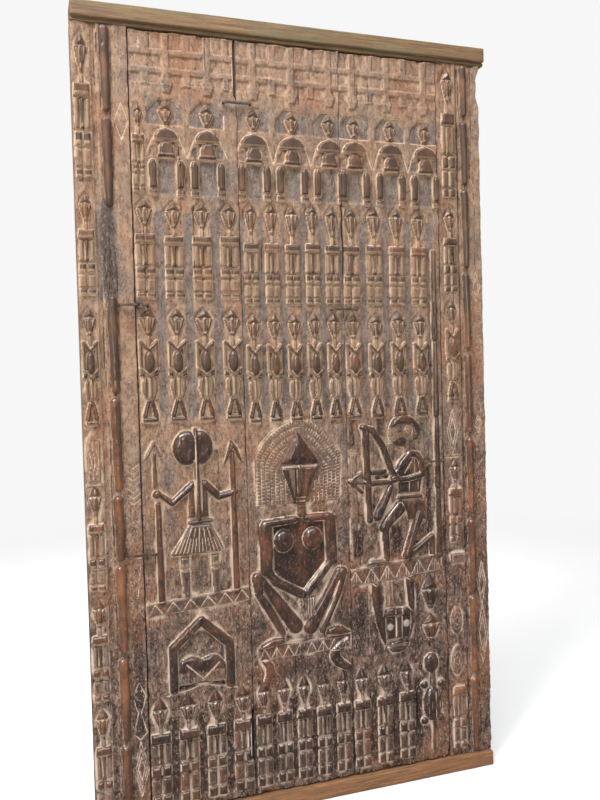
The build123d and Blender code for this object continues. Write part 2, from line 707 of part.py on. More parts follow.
with BuildPart() as lintel:
    with BuildSketch(Plane.YZ.offset(frame_left)):
        Polygon((-lip_proud, lintel_foot), (jamb_depth, lintel_foot), (jamb_depth, lintel_top),
                (-beam_proud, lintel_top), (-beam_proud, beam_foot), (-lip_proud, beam_foot), align=None)
    extrude(amount=frame_width + lintel_overhang)
    mortises(lintel_foot)
lintel.part.label = "lintel"

with BuildPart() as sill:
    with BuildSketch(Plane.YZ.offset(frame_left)):
        Polygon((-beam_proud, 0), (jamb_depth, 0), (jamb_depth, sill_height), (-beam_proud, sill_height),
                align=None)
    extrude(amount=frame_width)
    mortises(sill_height - tenon_length - tenon_clearance)
sill.part.label = "sill"

with BuildPart() as frame_pegs:
    with BuildSketch(Plane.XZ.offset(-jamb_depth)):
        with Locations(*[(x, z) for x in jamb_middles for z in peg_heights]):
            RegularPolygon(peg_radius, 8)
    extrude(amount=peg_length)
frame_pegs.part.label = "frame_pegs"


# Ledges across the back of the planks, and their nails
def ledge(z):
    """One ledge, its long back edges planed off."""
    with BuildPart() as board:
        with BuildSketch(Plane.XZ.offset(-ledge_back)):
            with Locations(((ledge_left + ledge_right) / 2, z)):
                Rectangle(ledge_right - ledge_left, ledge_height)
        extrude(amount=ledge_thickness)
        chamfer(board.faces().sort_by(Axis.Y)[-1].edges().filter_by(Axis.X), 5)
        spots = [spot for spot in all_nail_spots if abs(spot[1] - z) < ledge_height]
        square_holes(spots, nail_hole, Plane.XZ.offset(-ledge_back), ledge_thickness)
    return board


all_nail_spots = [*nail_spots(leaf_left, left_edge), *nail_spots(middle_left, middle_right),
                  *nail_spots(right_left, leaf_right)]
ledge_lower = ledge(ledge_heights[0])
ledge_lower.part.label = "ledge_lower"
ledge_upper = ledge(ledge_heights[1])
ledge_upper.part.label = "ledge_upper"

with BuildPart() as ledge_nails:
    with BuildSketch(Plane.XZ.offset(-ledge_back)):
        with Locations(*all_nail_spots):
            Rectangle(nail_width, nail_width)
    extrude(amount=ledge_thickness + nail_bite)
    with BuildSketch(Plane.XZ.offset(-ledge_back)):
        with Locations(*all_nail_spots):
            Rectangle(nail_head_width, nail_head_width)
    extrude(amount=-nail_head)
ledge_nails.part.label = "ledge_nails"


# Ironwork, bent from one square bar
def bent_bar(points):
    """A square bar along a path bent at its corners; it starts inside the board, along Y."""
    with BuildLine() as path:
        FilletPolyline(*points, radius=bar_bend)
    with BuildSketch(Plane(origin=points[0], z_dir=(0, -1, 0))) as section_sketch:
        Rectangle(bar, bar)
    sweep(sections=section_sketch.sketch, path=path.wires()[0], clean=False)


def staple(x, z, span, proud):
    """A staple standing proud of the face, its legs span apart about x."""
    left, right = x - span / 2, x + span / 2
    bent_bar([(left, staple_leg, z), (left, -proud, z), (right, -proud, z), (right, staple_leg, z)])


def eye(x, z, plane):
    """A ring of the bar lying in a plane."""
    with BuildSketch(Plane(origin=(x, -stand_off, z), z_dir=plane.z_dir)) as ring:
        Circle(eye_radius + bar / 2)
        Circle(eye_radius - bar / 2, mode=Mode.SUBTRACT)
    extrude(ring.sketch, amount=bar / 2, both=True, clean=False)


def shank(x, reach, z):
    """From the ring's far side along the face to a leg driven into the board."""
    side = 1 if reach > 0 else -1
    foot = hinge_x + reach
    bent_bar([(foot, staple_leg, z), (foot, -stand_off, z), (x + side * eye_radius, -stand_off, z)])


with BuildPart() as seam_staples:
    for height in staple_heights_left:
        staple(joint_left, height, staple_span, stand_off)
    for height in staple_heights_right:
        staple(joint_right, height, staple_span, stand_off)
seam_staples.part.label = "seam_staples"

with BuildPart() as pull_staple:
    staple(pull_x, pull_height, pull_span, pull_stand_off)
pull_staple.part.label = "pull_staple"

with BuildPart() as hinge_jamb_eyes:
    for height in hinge_heights:
        eye(hinge_x, height, Plane.XY)
        shank(hinge_x, -hinge_reach_jamb, height)
hinge_jamb_eyes.part.label = "hinge_jamb_eyes"

# The leaf hangs by its own upright rings, which sag a little in the jamb's level ones
with BuildPart() as hinge_leaf_eyes:
    for height in leaf_eye_heights:
        eye(hinge_x + eye_radius, height, Plane.XZ)
        shank(hinge_x + eye_radius, hinge_reach_leaf, height)
hinge_leaf_eyes.part.label = "hinge_leaf_eyes"

os.makedirs("parts", exist_ok=True)
for piece in (plank_left, plank_middle, plank_right, jamb_left, jamb_right, lintel, sill, frame_pegs,
              ledge_lower, ledge_upper, ledge_nails, seam_staples, pull_staple, hinge_jamb_eyes,
              hinge_leaf_eyes):
    export_step(piece.part, f"parts/{piece.part.label}.step")
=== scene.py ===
import math

import bmesh
import bpy
import numpy as np
from mathutils import Matrix, Vector


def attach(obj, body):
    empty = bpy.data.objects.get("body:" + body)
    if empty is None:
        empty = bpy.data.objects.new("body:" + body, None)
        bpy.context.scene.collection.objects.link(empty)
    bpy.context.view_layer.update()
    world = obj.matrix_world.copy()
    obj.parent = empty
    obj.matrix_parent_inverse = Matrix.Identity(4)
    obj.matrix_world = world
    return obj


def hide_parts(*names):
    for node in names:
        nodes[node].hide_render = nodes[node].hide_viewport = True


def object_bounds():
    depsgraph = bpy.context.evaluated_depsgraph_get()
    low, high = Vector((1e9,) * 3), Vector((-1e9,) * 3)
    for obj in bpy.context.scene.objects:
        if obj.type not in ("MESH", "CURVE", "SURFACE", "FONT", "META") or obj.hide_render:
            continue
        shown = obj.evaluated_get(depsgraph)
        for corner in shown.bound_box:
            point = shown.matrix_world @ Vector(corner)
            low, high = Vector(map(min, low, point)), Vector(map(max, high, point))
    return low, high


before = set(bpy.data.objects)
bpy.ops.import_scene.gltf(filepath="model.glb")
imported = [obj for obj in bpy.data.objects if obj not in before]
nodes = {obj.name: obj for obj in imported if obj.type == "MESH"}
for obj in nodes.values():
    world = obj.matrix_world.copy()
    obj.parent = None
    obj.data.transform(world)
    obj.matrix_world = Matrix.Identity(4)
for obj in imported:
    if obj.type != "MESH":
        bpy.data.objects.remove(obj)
cad_box = [list(corner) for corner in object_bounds()]
MM = 0.001


# Camera, where the photograph was taken from

PHOTO_WIDTH, PHOTO_HEIGHT = 600, 800
FOCAL_PIXELS, SENSOR = 786.3, 36.0
CAMERA_PLACE = Vector((-0.6248, -1.8585, 1.0657))
CAMERA_TURN = [math.radians(angle) for angle in (1.292, -18.562, -1.793)]


def turn_matrix(turn):
    """The rotation of a turn about one axis, given as a vector of radians."""
    axis = Vector(turn)
    return Matrix.Rotation(axis.length, 3, axis.normalized())


def add_camera():
    looking = turn_matrix(CAMERA_TURN) @ Matrix(((1, 0, 0), (0, 0, -1), (0, 1, 0)))
    right, down, ahead = looking
    data = bpy.data.cameras.new("camera")
    data.sensor_width = SENSOR
    data.lens = SENSOR * FOCAL_PIXELS / max(PHOTO_WIDTH, PHOTO_HEIGHT)
    camera = bpy.data.objects.new("camera", data)
    bpy.context.scene.collection.objects.link(camera)
    turned = Matrix((right, -down, -ahead)).transposed().to_4x4()
    camera.matrix_world = Matrix.Translation(CAMERA_PLACE) @ turned
    bpy.context.scene.camera = camera


# A board's face as a field of heights, in millimetres

def blur(field, across, up):
    """Smooths a field with a bell of the given spreads, in samples."""
    for spread, axis in ((across, 1), (up, 0)):
        reach = int(3 * spread + 0.5)
        weights = np.exp(-0.5 * (np.arange(-reach, reach + 1) / spread) ** 2)
        weights /= weights.sum()
        pad = [(reach, reach) if a == axis else (0, 0) for a in (0, 1)]
        padded = np.pad(field, pad, mode="edge")
        count = field.shape[axis]
        total = np.zeros(field.shape, np.float32)
        for i, weight in enumerate(weights):
            part = padded[i:i + count] if axis == 0 else padded[:, i:i + count]
            total += weight * part
        field = total
    return field


def pillow(depth, edge):
    """From 0 on an outline to 1 a distance edge inside it, round at the shoulder."""
    rise = np.clip(depth / edge, 0.0, 1.0)
    return np.sqrt(1.0 - (1.0 - rise) ** 2)


def inside_outline(points, x, z):
    """How deep each sample lies inside a closed outline; negative outside it."""
    near = np.full(np.broadcast_shapes(x.shape, z.shape), 1e12)
    odd = np.zeros(near.shape, bool)
    for (ax, az), (bx, bz) in zip(points, points[1:] + points[:1]):
        ex, ez = bx - ax, bz - az
        t = np.clip(((x - ax) * ex + (z - az) * ez) / (ex * ex + ez * ez + 1e-9), 0, 1)
        near = np.minimum(near, (x - ax - t * ex) ** 2 + (z - az - t * ez) ** 2)
        if ez:
            odd ^= ((az > z) != (bz > z)) & (x < ax + (z - az) * ex / ez)
    return np.where(odd, 1.0, -1.0) * np.sqrt(near)


def inside_bar(path, start, end, x, z):
    """How deep each sample lies inside a round-ended bar that tapers along its path."""
    lengths = [math.dist(a, b) for a, b in zip(path, path[1:])]
    total, run = sum(lengths), 0.0
    deep = np.full(np.broadcast_shapes(x.shape, z.shape), -1e6)
    for (ax, az), (bx, bz), length in zip(path, path[1:], lengths):
        ex, ez = bx - ax, bz - az
        t = np.clip(((x - ax) * ex + (z - az) * ez) / (length * length + 1e-9), 0, 1)
        away = np.sqrt((x - ax - t * ex) ** 2 + (z - az - t * ez) ** 2)
        width = start + (end - start) * (run + t * length) / total
        deep = np.maximum(deep, width / 2 - away)
        run += length
    return deep


class Face:
    """The carved face of one board: its floor, the forms raised on it, the cuts in them and their stains."""

    def __init__(self, left, right, foot, top, seed):
        self.x = np.arange(left, right + 1.0, dtype=np.float32)[None, :]
        self.z = np.arange(foot, top + 1.0, dtype=np.float32)[:, None]
        shape = (self.z.shape[0], self.x.shape[1])
        for field in ("floor", "form", "cuts", "cracks", "polish", "dust", "soot", "ash", "calm"):
            setattr(self, field, np.zeros(shape, np.float32))
        self.luck = np.random.default_rng(seed)

    def window(self, points, margin):
        """The rows and columns round some points, with the places of their samples."""
        xs, zs = [p[0] for p in points], [p[1] for p in points]
        x0, z0 = float(self.x[0, 0]), float(self.z[0, 0])
        cols = slice(max(int(min(xs) - margin - x0), 0), max(int(max(xs) + margin - x0) + 2, 0))
        rows = slice(max(int(min(zs) - margin - z0), 0), max(int(max(zs) + margin - z0) + 2, 0))
        return rows, cols, self.x[:, cols], self.z[rows]


class Chisel:
    """Carves a face in a motif's own millimetres, about the motif's foot and stretched to its place."""

    def __init__(self, face, x, z, across=1.0, up=1.0):
        self.face, self.place, self.stretch = face, (x, z), (across, up)

    def at(self, points):
        """A motif's points, moved to their place on the board."""
        return [(self.place[0] + px * self.stretch[0], self.place[1] + pz * self.stretch[1])
                for px, pz in points]

    def raised(self, depth, rows, cols, height, edge, polish, facet=False, dusty=0.0):
        """Raises a form where it stands above the others, and polishes it there."""
        rise = np.clip(depth / edge, 0.0, 1.0) if facet else pillow(depth, edge)
        form = self.face.form[rows, cols]
        higher = height * rise > form
        self.face.form[rows, cols] = np.maximum(form, height * rise)
        z = self.face.z[rows]
        climb = (z - z[0]) / (z[-1] - z[0] + 1e-6)
        sheen = polish * np.clip(4.0 * rise, 0, 1) * np.clip(1 + (climb - dusty) * 12 * (dusty > 0), 0.1, 1)
        self.face.polish[rows, cols] = np.where(higher, sheen, self.face.polish[rows, cols])

    def pad(self, points, height, edge=2.5, polish=0.4, facet=True, dusty=0.0):
        """A raised shape with pared sides, or rounded ones without facet; its lowest share may be dusty."""
        points = self.at(points)
        rows, cols, x, z = self.face.window(points, 1)
        self.raised(inside_outline(points, x, z), rows, cols, height, edge, polish, facet, dusty)

    def bar(self, path, width, height, end=None, edge=None, polish=0.4):
        """A raised round-ended bar along a path, as wide as end at its far end."""
        path = self.at(path)
        rows, cols, x, z = self.face.window(path, max(width, end or 0) / 2 + 1)
        depth = inside_bar(path, width, width if end is None else end, x, z)
        self.raised(depth, rows, cols, height, edge or 0.45 * width, polish)

    def dome(self, x, z, half_width, half_height, height, polish=0.8, flat=1.0):
        """A raised oval dome; flat above 1 gives it a broad top and steep sides."""
        (cx, cz), = self.at([(x, z)])
        a, b = half_width * self.stretch[0], half_height * self.stretch[1]
        rows, cols, gx, gz = self.face.window([(cx - a, cz - b), (cx + a, cz + b)], 1)
        share = np.sqrt(((gx - cx) / a) ** 2 + ((gz - cz) / b) ** 2)
        self.raised((1.0 - share) * flat, rows, cols, height, 1.0, polish)

    def sink(self, points, depth, edge=2.0, **stains):
        """A sunk bed with sloping sides, perhaps stained with dust, ash, calm or soot; the soot stain also
        carries a painted shadow.
        """
        points = self.at(points)
        rows, cols, x, z = self.face.window(points, 1)
        share = np.clip(inside_outline(points, x, z) / edge, 0, 1)
        self.face.floor[rows, cols] = np.minimum(self.face.floor[rows, cols], -depth * share)
        for stain, amount in stains.items():
            patch = getattr(self.face, stain)[rows, cols]
            patch[...] = np.maximum(patch, amount * share)

    def groove(self, path, width=2.2, depth=1.6, into="cuts"):
        """A cut with a V section along a path, through whatever it crosses."""
        path = self.at(path)
        rows, cols, x, z = self.face.window(path, width)
        deep = inside_bar(path, width, width, x, z)
        cut = depth * np.clip(2 * deep / width, 0, 1)
        field = getattr(self.face, into)
        field[rows, cols] = np.maximum(field[rows, cols], cut)

    def ring(self, points, width=2.2, depth=1.6):
        """A groove round a closed outline."""
        self.groove([*points, points[0]], width, depth)


# Motifs that repeat along the rows

def box(left, right, low, high):
    """The corners of an upright rectangle."""
    return [(left, low), (right, low), (right, high), (left, high)]


def both_sides(right):
    """A closed outline from its right half, listed upwards."""
    return right + [(-x, z) for x, z in right[::-1] if x]


def head(tool, width, chin, brow, top, height=8.5, polish=0.1, sheen=0.9):
    """A mask in a sunk bed: a dark crown over a face like a shield, its nose between two slots."""
    half, tall, cap = width / 2, brow - chin, top - brow
    face = [(0.22 * half, chin), (0.62 * half, chin + 0.4 * tall), (0.9 * half, chin + 0.78 * tall),
            (half, brow - 0.06 * tall), (0.94 * half, brow)]
    crown = [(0.94 * half, brow - 2), (0.96 * half, brow + 0.04 * cap), (0.56 * half, brow + 0.5 * cap),
             (0, top)]
    bed = [(1.2 * x + 3 * (x > 0), z + 4 * (z > brow) - 4 * (z < chin + 4)) for x, z in face[:4] + crown[1:]]
    tool.sink(both_sides(bed), 2.6, 4)
    tool.pad(both_sides(face), height - 2, 2.6, 0.5)
    middle = chin + 0.52 * tall
    inner = [(0.78 * x, middle + 0.84 * (z - middle)) for x, z in face]
    tool.pad(both_sides(inner), height - 0.5, 2.4, polish + 0.06)
    tool.pad(both_sides(crown), height + 1.5, 0.62 * half, sheen)
    tool.sink(both_sides(crown), 0, 1, soot=0.75)
    tool.groove([(-half, brow - 1), (half, brow - 1)], 2.6, 2.6)
    for side in (-1, 1):
        tool.groove([(side * 0.42 * half, brow - 0.08 * tall), (side * 0.28 * half, chin + 0.3 * tall)],
                    max(0.24 * half, 2.6), 3, "cracks")
    tool.bar([(0, brow - 2), (0, chin + 0.34 * tall)], 0.36 * half, height + 0.5, 0.42 * half, polish=0.7)
    tool.groove([(-0.3 * half, chin + 0.2 * tall), (0.3 * half, chin + 0.2 * tall)], 2.2, 2)


FIGURE_WIDTH = 46
ROW_FIGURE = (17, 31, 35, 63, 68, 89, 146, 166, 183, 226, 251)
LOW_ROW_FIGURE = ROW_FIGURE[:8] + (185, 241, 269)
BASE_FIGURE = (18, 42, 46, 84, 90, 114, 170, 194, 208, 250, 282)


def block_figure(tool, marks, mask=True, dusty=0.42):
    """A square-cut standing figure; its marks are the heights of feet, thighs, hips, shoulders and mask."""
    half = FIGURE_WIDTH / 2
    flank = half - 1
    low, high = marks[5] + 4, marks[6] - 2
    limbs, thighs, ribs, crown = (0.7, 0.3, 0.3, 0.4) if dusty else (0.6, 0.45, 0.42, 0.7)
    blocks = ((0, 7, 3.5, limbs, dusty), (2, 5, 3, thighs, 0), (4, 8, 4.5, limbs, dusty))
    for side in (-1, 1):
        for foot, height, edge, polish, dim in blocks:
            block = box(side * 2.6, side * flank, marks[foot], marks[foot + 1])
            tool.pad(block, height, edge, polish, False, dim)
        rib = [(9.5, low + 2), (flank, low + 2), (flank, high - 1), (10.5, high - 1)]
        tool.pad([(side * x, z) for x, z in rib], 5, 3, ribs, False)
    tool.pad([(-6.5, low), (6.5, low), (4.5, low + 12), (6, high), (-6, high), (-4.5, low + 12)], 9, 4.5, 0.6)
    shoulders = [(-half, marks[6]), (half, marks[6]), (flank, marks[7]), (-flank, marks[7])]
    tool.pad(shoulders, 9.5, 5, 0.85, False, 0.9 * dusty)
    if mask:
        tool.bar([(0, marks[7] + 1), (0, marks[8] + 2)], 8.5, 5, polish=0.2)
        head(tool, 0.84 * FIGURE_WIDTH, *marks[8:], sheen=crown)


def belly_figure(tool):
    """A standing figure with a long polished belly between joined arms, on a plinth, 269 high."""
    tool.pad(box(-19, 19, -2, 11), 7.5, 3, 0.6, dusty=0.35)
    for side in (-1, 1):
        tool.bar([(side * 13, 15), (side * 4, 50)], 11, 8, 8, polish=0.7)
        tool.pad([(side * 7, 57), (side * 12, 55), (side * 19, 76), (side * 18, 94), (side * 11, 104),
                  (side * 7, 104)], 8, 5, 0.4, False)
        tool.bar([(side * 19.5, 126), (side * 19.5, 186)], 5.5, 6.5, polish=0.4)
        tool.pad([(side * 11, 106), (side * 22, 108), (side * 22, 121), (side * 11, 116)], 8, 3, 0.7)
        tool.bar([(side * 20, 126), (0, 110)], 6.5, 9, polish=0.25)
        tool.bar([(side * 19, 188), (0, 170)], 9, 9.5, 7, polish=0.5)
    tool.pad(box(-5.5, 5.5, 56, 106), 6, 2.5, 0.1)
    tool.groove([(-5, 58), (5, 58)])
    tool.dome(0, 141, 13, 28, 13, 0.62, 1.9)
    tool.bar([(0, 178), (0, 210)], 9, 5, 8, polish=0.3)
    head(tool, 42, 203, 246, 272, sheen=0.42)


def niche(tool, width, cap):
    """A gabled niche with a mask, over a half-moon cap, the block of a body and a pair of legs, 238 high."""
    half = width / 2
    gable = both_sides([(half, 173), (half, 206), (0.4 * half, 233)])
    tool.sink(gable, 3.5, 2, ash=0.7)
    tool.ring(gable, 2.8, 1.6)
    head(tool, 0.42 * width, 176, 209, 232, 9, sheen=0.4)
    tool.pad(both_sides([(cap * half, 137), (0.96 * cap * half, 149), (0.66 * cap * half, 160), (0, 167)]),
             8, 5, 0.85, False, 0.2)
    tool.sink([(-0.5 * half, 10), (0.5 * half, 10), (0.48 * half, 92), (-0.48 * half, 92)], 2.5, 4, ash=0.9)
    tool.pad([(-17, 98), (17, 98), (17, 120), (9, 134), (-9, 134), (-17, 120)], 10, 5, 0.6, False, 0.15)
    tool.pad(box(-20, 20, 97, 106), 11.5, 3.5, 0.9, False)
    for side in (-1, 1):
        tool.sink([(side * 0.56 * half, 100), (side * 0.98 * half, 100), (side * 0.9 * half, 122),
                   (side * 0.56 * half, 128)], 3, 3, ash=0.6)
        tool.groove([(side * (cap + 0.08) * half, 144), (side * 1.17 * half, 100)], 4.2, 2.8)
        leg = side * 0.77 * half
        shank = [(-8, 26), (8, 26), (9.5, 80), (4, 92), (-5, 92), (-9.5, 80)]
        tool.pad([(leg + x, z) for x, z in shank], 8.5, 5, 0.8, False)
        tool.pad(box(leg - 9, leg + 9, 8, 22), 8.5, 4, 0.7, False, 0.35)


def fret(tool, left, right, posts):
    """The latticed band of posts and cross-bars, 140 high; its pockets are sunk and a little dusty."""
    def strip(start, end, low, high, height):
        tool.pad(box(start, end, low, high), height, 2.2, 0.12)
        tool.sink(box(start, end, low, high), 0, 2, ash=0.75, soot=0.2)

    tool.sink(box(left, right, -4, 138), 0, 6, calm=0.2)
    tool.sink(box(left, right, 20, 138), 2.2, 2, dust=0.14)
    for low, high in ((86, 102), (43, 59)):
        strip(left, right, low, high, 2.8)
    half = (posts[1] - posts[0]) / 2
    for post in posts:
        pendant = [(post, 52), (post - 18, 24), (post - 9, -1), (post + 9, -1), (post + 18, 24)]
        tool.pad(pendant, 4, 4, 0.15)
        tool.sink(pendant, 0, 3, ash=0.75, soot=0.2)
        strip(post - 9.5, post + 9.5, 36, 139, 3.6)
    for x in [posts[0] - half, *[post + half for post in posts]]:
        if left + 10 < x < right - 10:
            strip(x - 10, x + 10, 98, 139, 2.8)
            strip(x - 10, x + 10, 16, 46, 2.8)


def zigzag(tool, left, right, foot, rise, height, teeth, hatched):
    """A band of cut triangles with hatch lines in them; rise is how far it climbs to the right."""
    def on(x, share):
        return x, foot + rise * (x - left) / (right - left) + share * height

    tool.pad([on(left, 0), on(right, 0), on(right, 1), on(left, 1)], 3.5, 3, 0.35)
    tool.groove([on(left, 0), on(right, 0)], 3, 2.5)
    tool.groove([on(left, 1), on(right, 1)], 3, 2.5)
    step = (right - left) / teeth
    for tooth in range(teeth):
        start = left + tooth * step
        inset = 0.03 * step
        tooth_line = [on(start + inset, 0.04), on(start + step / 2, 0.86), on(start + step - inset, 0.04)]
        tool.groove(tooth_line, 3.4, 2.6)
        for line in range(1, hatched + 1):
            share = line / (hatched + 1)
            reach = 0.78 * (1 - abs(2 * share - 1))
            tool.groove([on(start + share * step, 0.04), on(start + share * step, reach)], 2.4, 2)


def bead(tool, x, foot, joints, top, width=23):
    """The half-round bead down a jamb, cut into worn lengths that end in collars."""
    ends = [foot, *joints, top]
    for low, high in zip(ends, ends[1:]):
        length = [(x + 1, low + 15), (x + 0.5, 0.5 * (low + high)), (x - 1.5, high - 13)]
        tool.bar(length, 0.75 * width, 10.5, width, 0.5 * width, 0.9)
        tool.pad([(x - 0.45 * width, high - 14), (x + 0.4 * width, high - 14), (x + 0.32 * width, high - 4),
                  (x - 0.36 * width, high - 4)], 7, 3, 0.3)
    rows, cols, _, _ = tool.face.window(tool.at([(x, foot), (x, top)]), 0.5 * width + 8)
    tool.face.calm[rows, cols] = 0.45


def lozenge(tool, x, low, high, half, lines=1):
    """Nested engraved lozenges."""
    middle = (low + high) / 2
    for line in range(lines):
        share = 1 - line / (lines + 0.5)
        wide, tall = half * share, (high - low) / 2 * share
        tool.ring([(x, middle - tall), (x + wide, middle), (x, middle + tall), (x - wide, middle)], 3.6, 2.2)


def herringbone(tool, left, right, low, high, step):
    """Cuts like a V, one over the other."""
    middle = (left + right) / 2
    for i in range(int((high - low) / step)):
        z = low + i * step
        tool.groove([(left, z + 12), (middle, z), (right, z + 12)], 3.2, 2)


# Pictures, drawn in millimetres from the frame's left edge and the sill's top

def spear_bearer(tool):
    """A figure with a ball of hair and a pleated skirt, between two spears."""
    for x, foot, neck in ((166, 508, 738), (348, 514, 850)):
        tool.bar([(x, foot), (x - 2, neck)], 18, 9, 12, polish=0.8)
    tool.bar([(158, 782), (159, 858)], 11, 7, 8, polish=0.5)
    tool.bar([(139, 849), (158, 884), (172, 852)], 8, 7, 7, polish=0.4)
    spearhead = [(342, 886), (321, 814), (337, 838), (347, 858), (357, 842), (374, 818), (360, 862)]
    tool.pad(spearhead, 10.5, 6, 0.9)
    tool.dome(236, 868, 34, 41, 13.5, 0.95, 2)
    tool.dome(265, 868, 34, 41, 13.5, 0.95, 2)
    tool.pad([(234, 700), (284, 700), (282, 790), (240, 790)], 6.5, 3, 0.5)
    tool.bar([(256, 910), (259, 700)], 12, 15.5, 12, 5, 0.6)
    tool.groove([(254, 908), (256, 700)], 2.6, 2.6)
    tool.groove([(250, 838), (251, 703)], 2.4, 2.2)
    tool.groove([(267, 836), (268, 703)], 2.6, 2.6)
    tool.bar([(245, 778), (197, 739), (172, 758)], 19, 10, 13, polish=0.7)
    tool.dome(162, 762, 11, 10, 11.5, 0.9, 2)
    tool.bar([(276, 780), (310, 747), (352, 756)], 20, 10, 15, polish=0.65)
    tool.bar([(238, 689), (289, 691)], 9, 7, polish=0.6)
    tool.pad([(238, 684), (288, 684), (318, 622), (314, 615), (196, 610), (190, 616)], 9, 9, 0.45, False)
    for i in range(13):
        start = 676 if i % 2 == 0 else 652
        share = (start - 617) / 67
        tool.groove([(200 + 9.4 * i + share * (34 - 5.2 * i), start), (200 + 9.4 * i, 618)], 3.2, 2.2)
    tool.groove([(192, 612), (318, 619)], 2.4, 1.6)
    for left, right, foot in ((212, 233, 226), (287, 306, 297)):
        tool.pad(box(left, right, 580, 609), 7, 4, 0.4, dusty=0.4)
        tool.groove([(left, 592), (right, 592)], 2.4, 1.8)
        tool.pad([(left, 577), (right, 577), (foot + 8, 512), (foot - 6, 512)], 7.5, 5, 0.42, False)
    tool.sink(box(240, 284, 520, 600), 1, 8, soot=0.5)
    tool.sink(box(358, 382, 520, 780), 1, 8, soot=0.45)


def gable_house(tool):
    """A mask in a house with a steep gable, over a tray between two curved lines."""
    tool.bar([(188, 292), (188, 392), (257, 452), (326, 388), (326, 290)], 21, 10, 23, 6, 0.9)
    tool.sink([(198, 362), (316, 352), (316, 384), (258, 440), (198, 392)], 3, 4, dust=0.22)
    tool.sink([(205, 372), (234, 372), (234, 412), (205, 390)], 1, 8, ash=0.8)
    head(tool, 24, 382, 407, 428, 6)
    tool.bar([(253, 372), (253, 380)], 9, 4, polish=0.3)
    tool.pad([(200, 300), (316, 300), (316, 340), (300, 360), (285, 366), (258, 358), (232, 367), (204, 358)],
             7, 6, 0.7, False, 0.5)
    tool.sink([(226, 350), (258, 318), (292, 348), (258, 354)], 0, 5, soot=1)
    tool.groove([(219, 350), (258, 312), (298, 348)], 4.4, 3.5)
    # Painted shadow: a dark band over the pale arch line below it, drawn with the soot stain.
    tool.sink([(180, 284), (222, 292), (258, 301), (296, 292), (336, 280), (330, 296), (258, 308),
               (188, 300)], 3, 3, soot=1.2)
    tool.groove([(170, 279), (222, 286), (258, 296), (296, 287), (342, 276)], 4, 2.4)


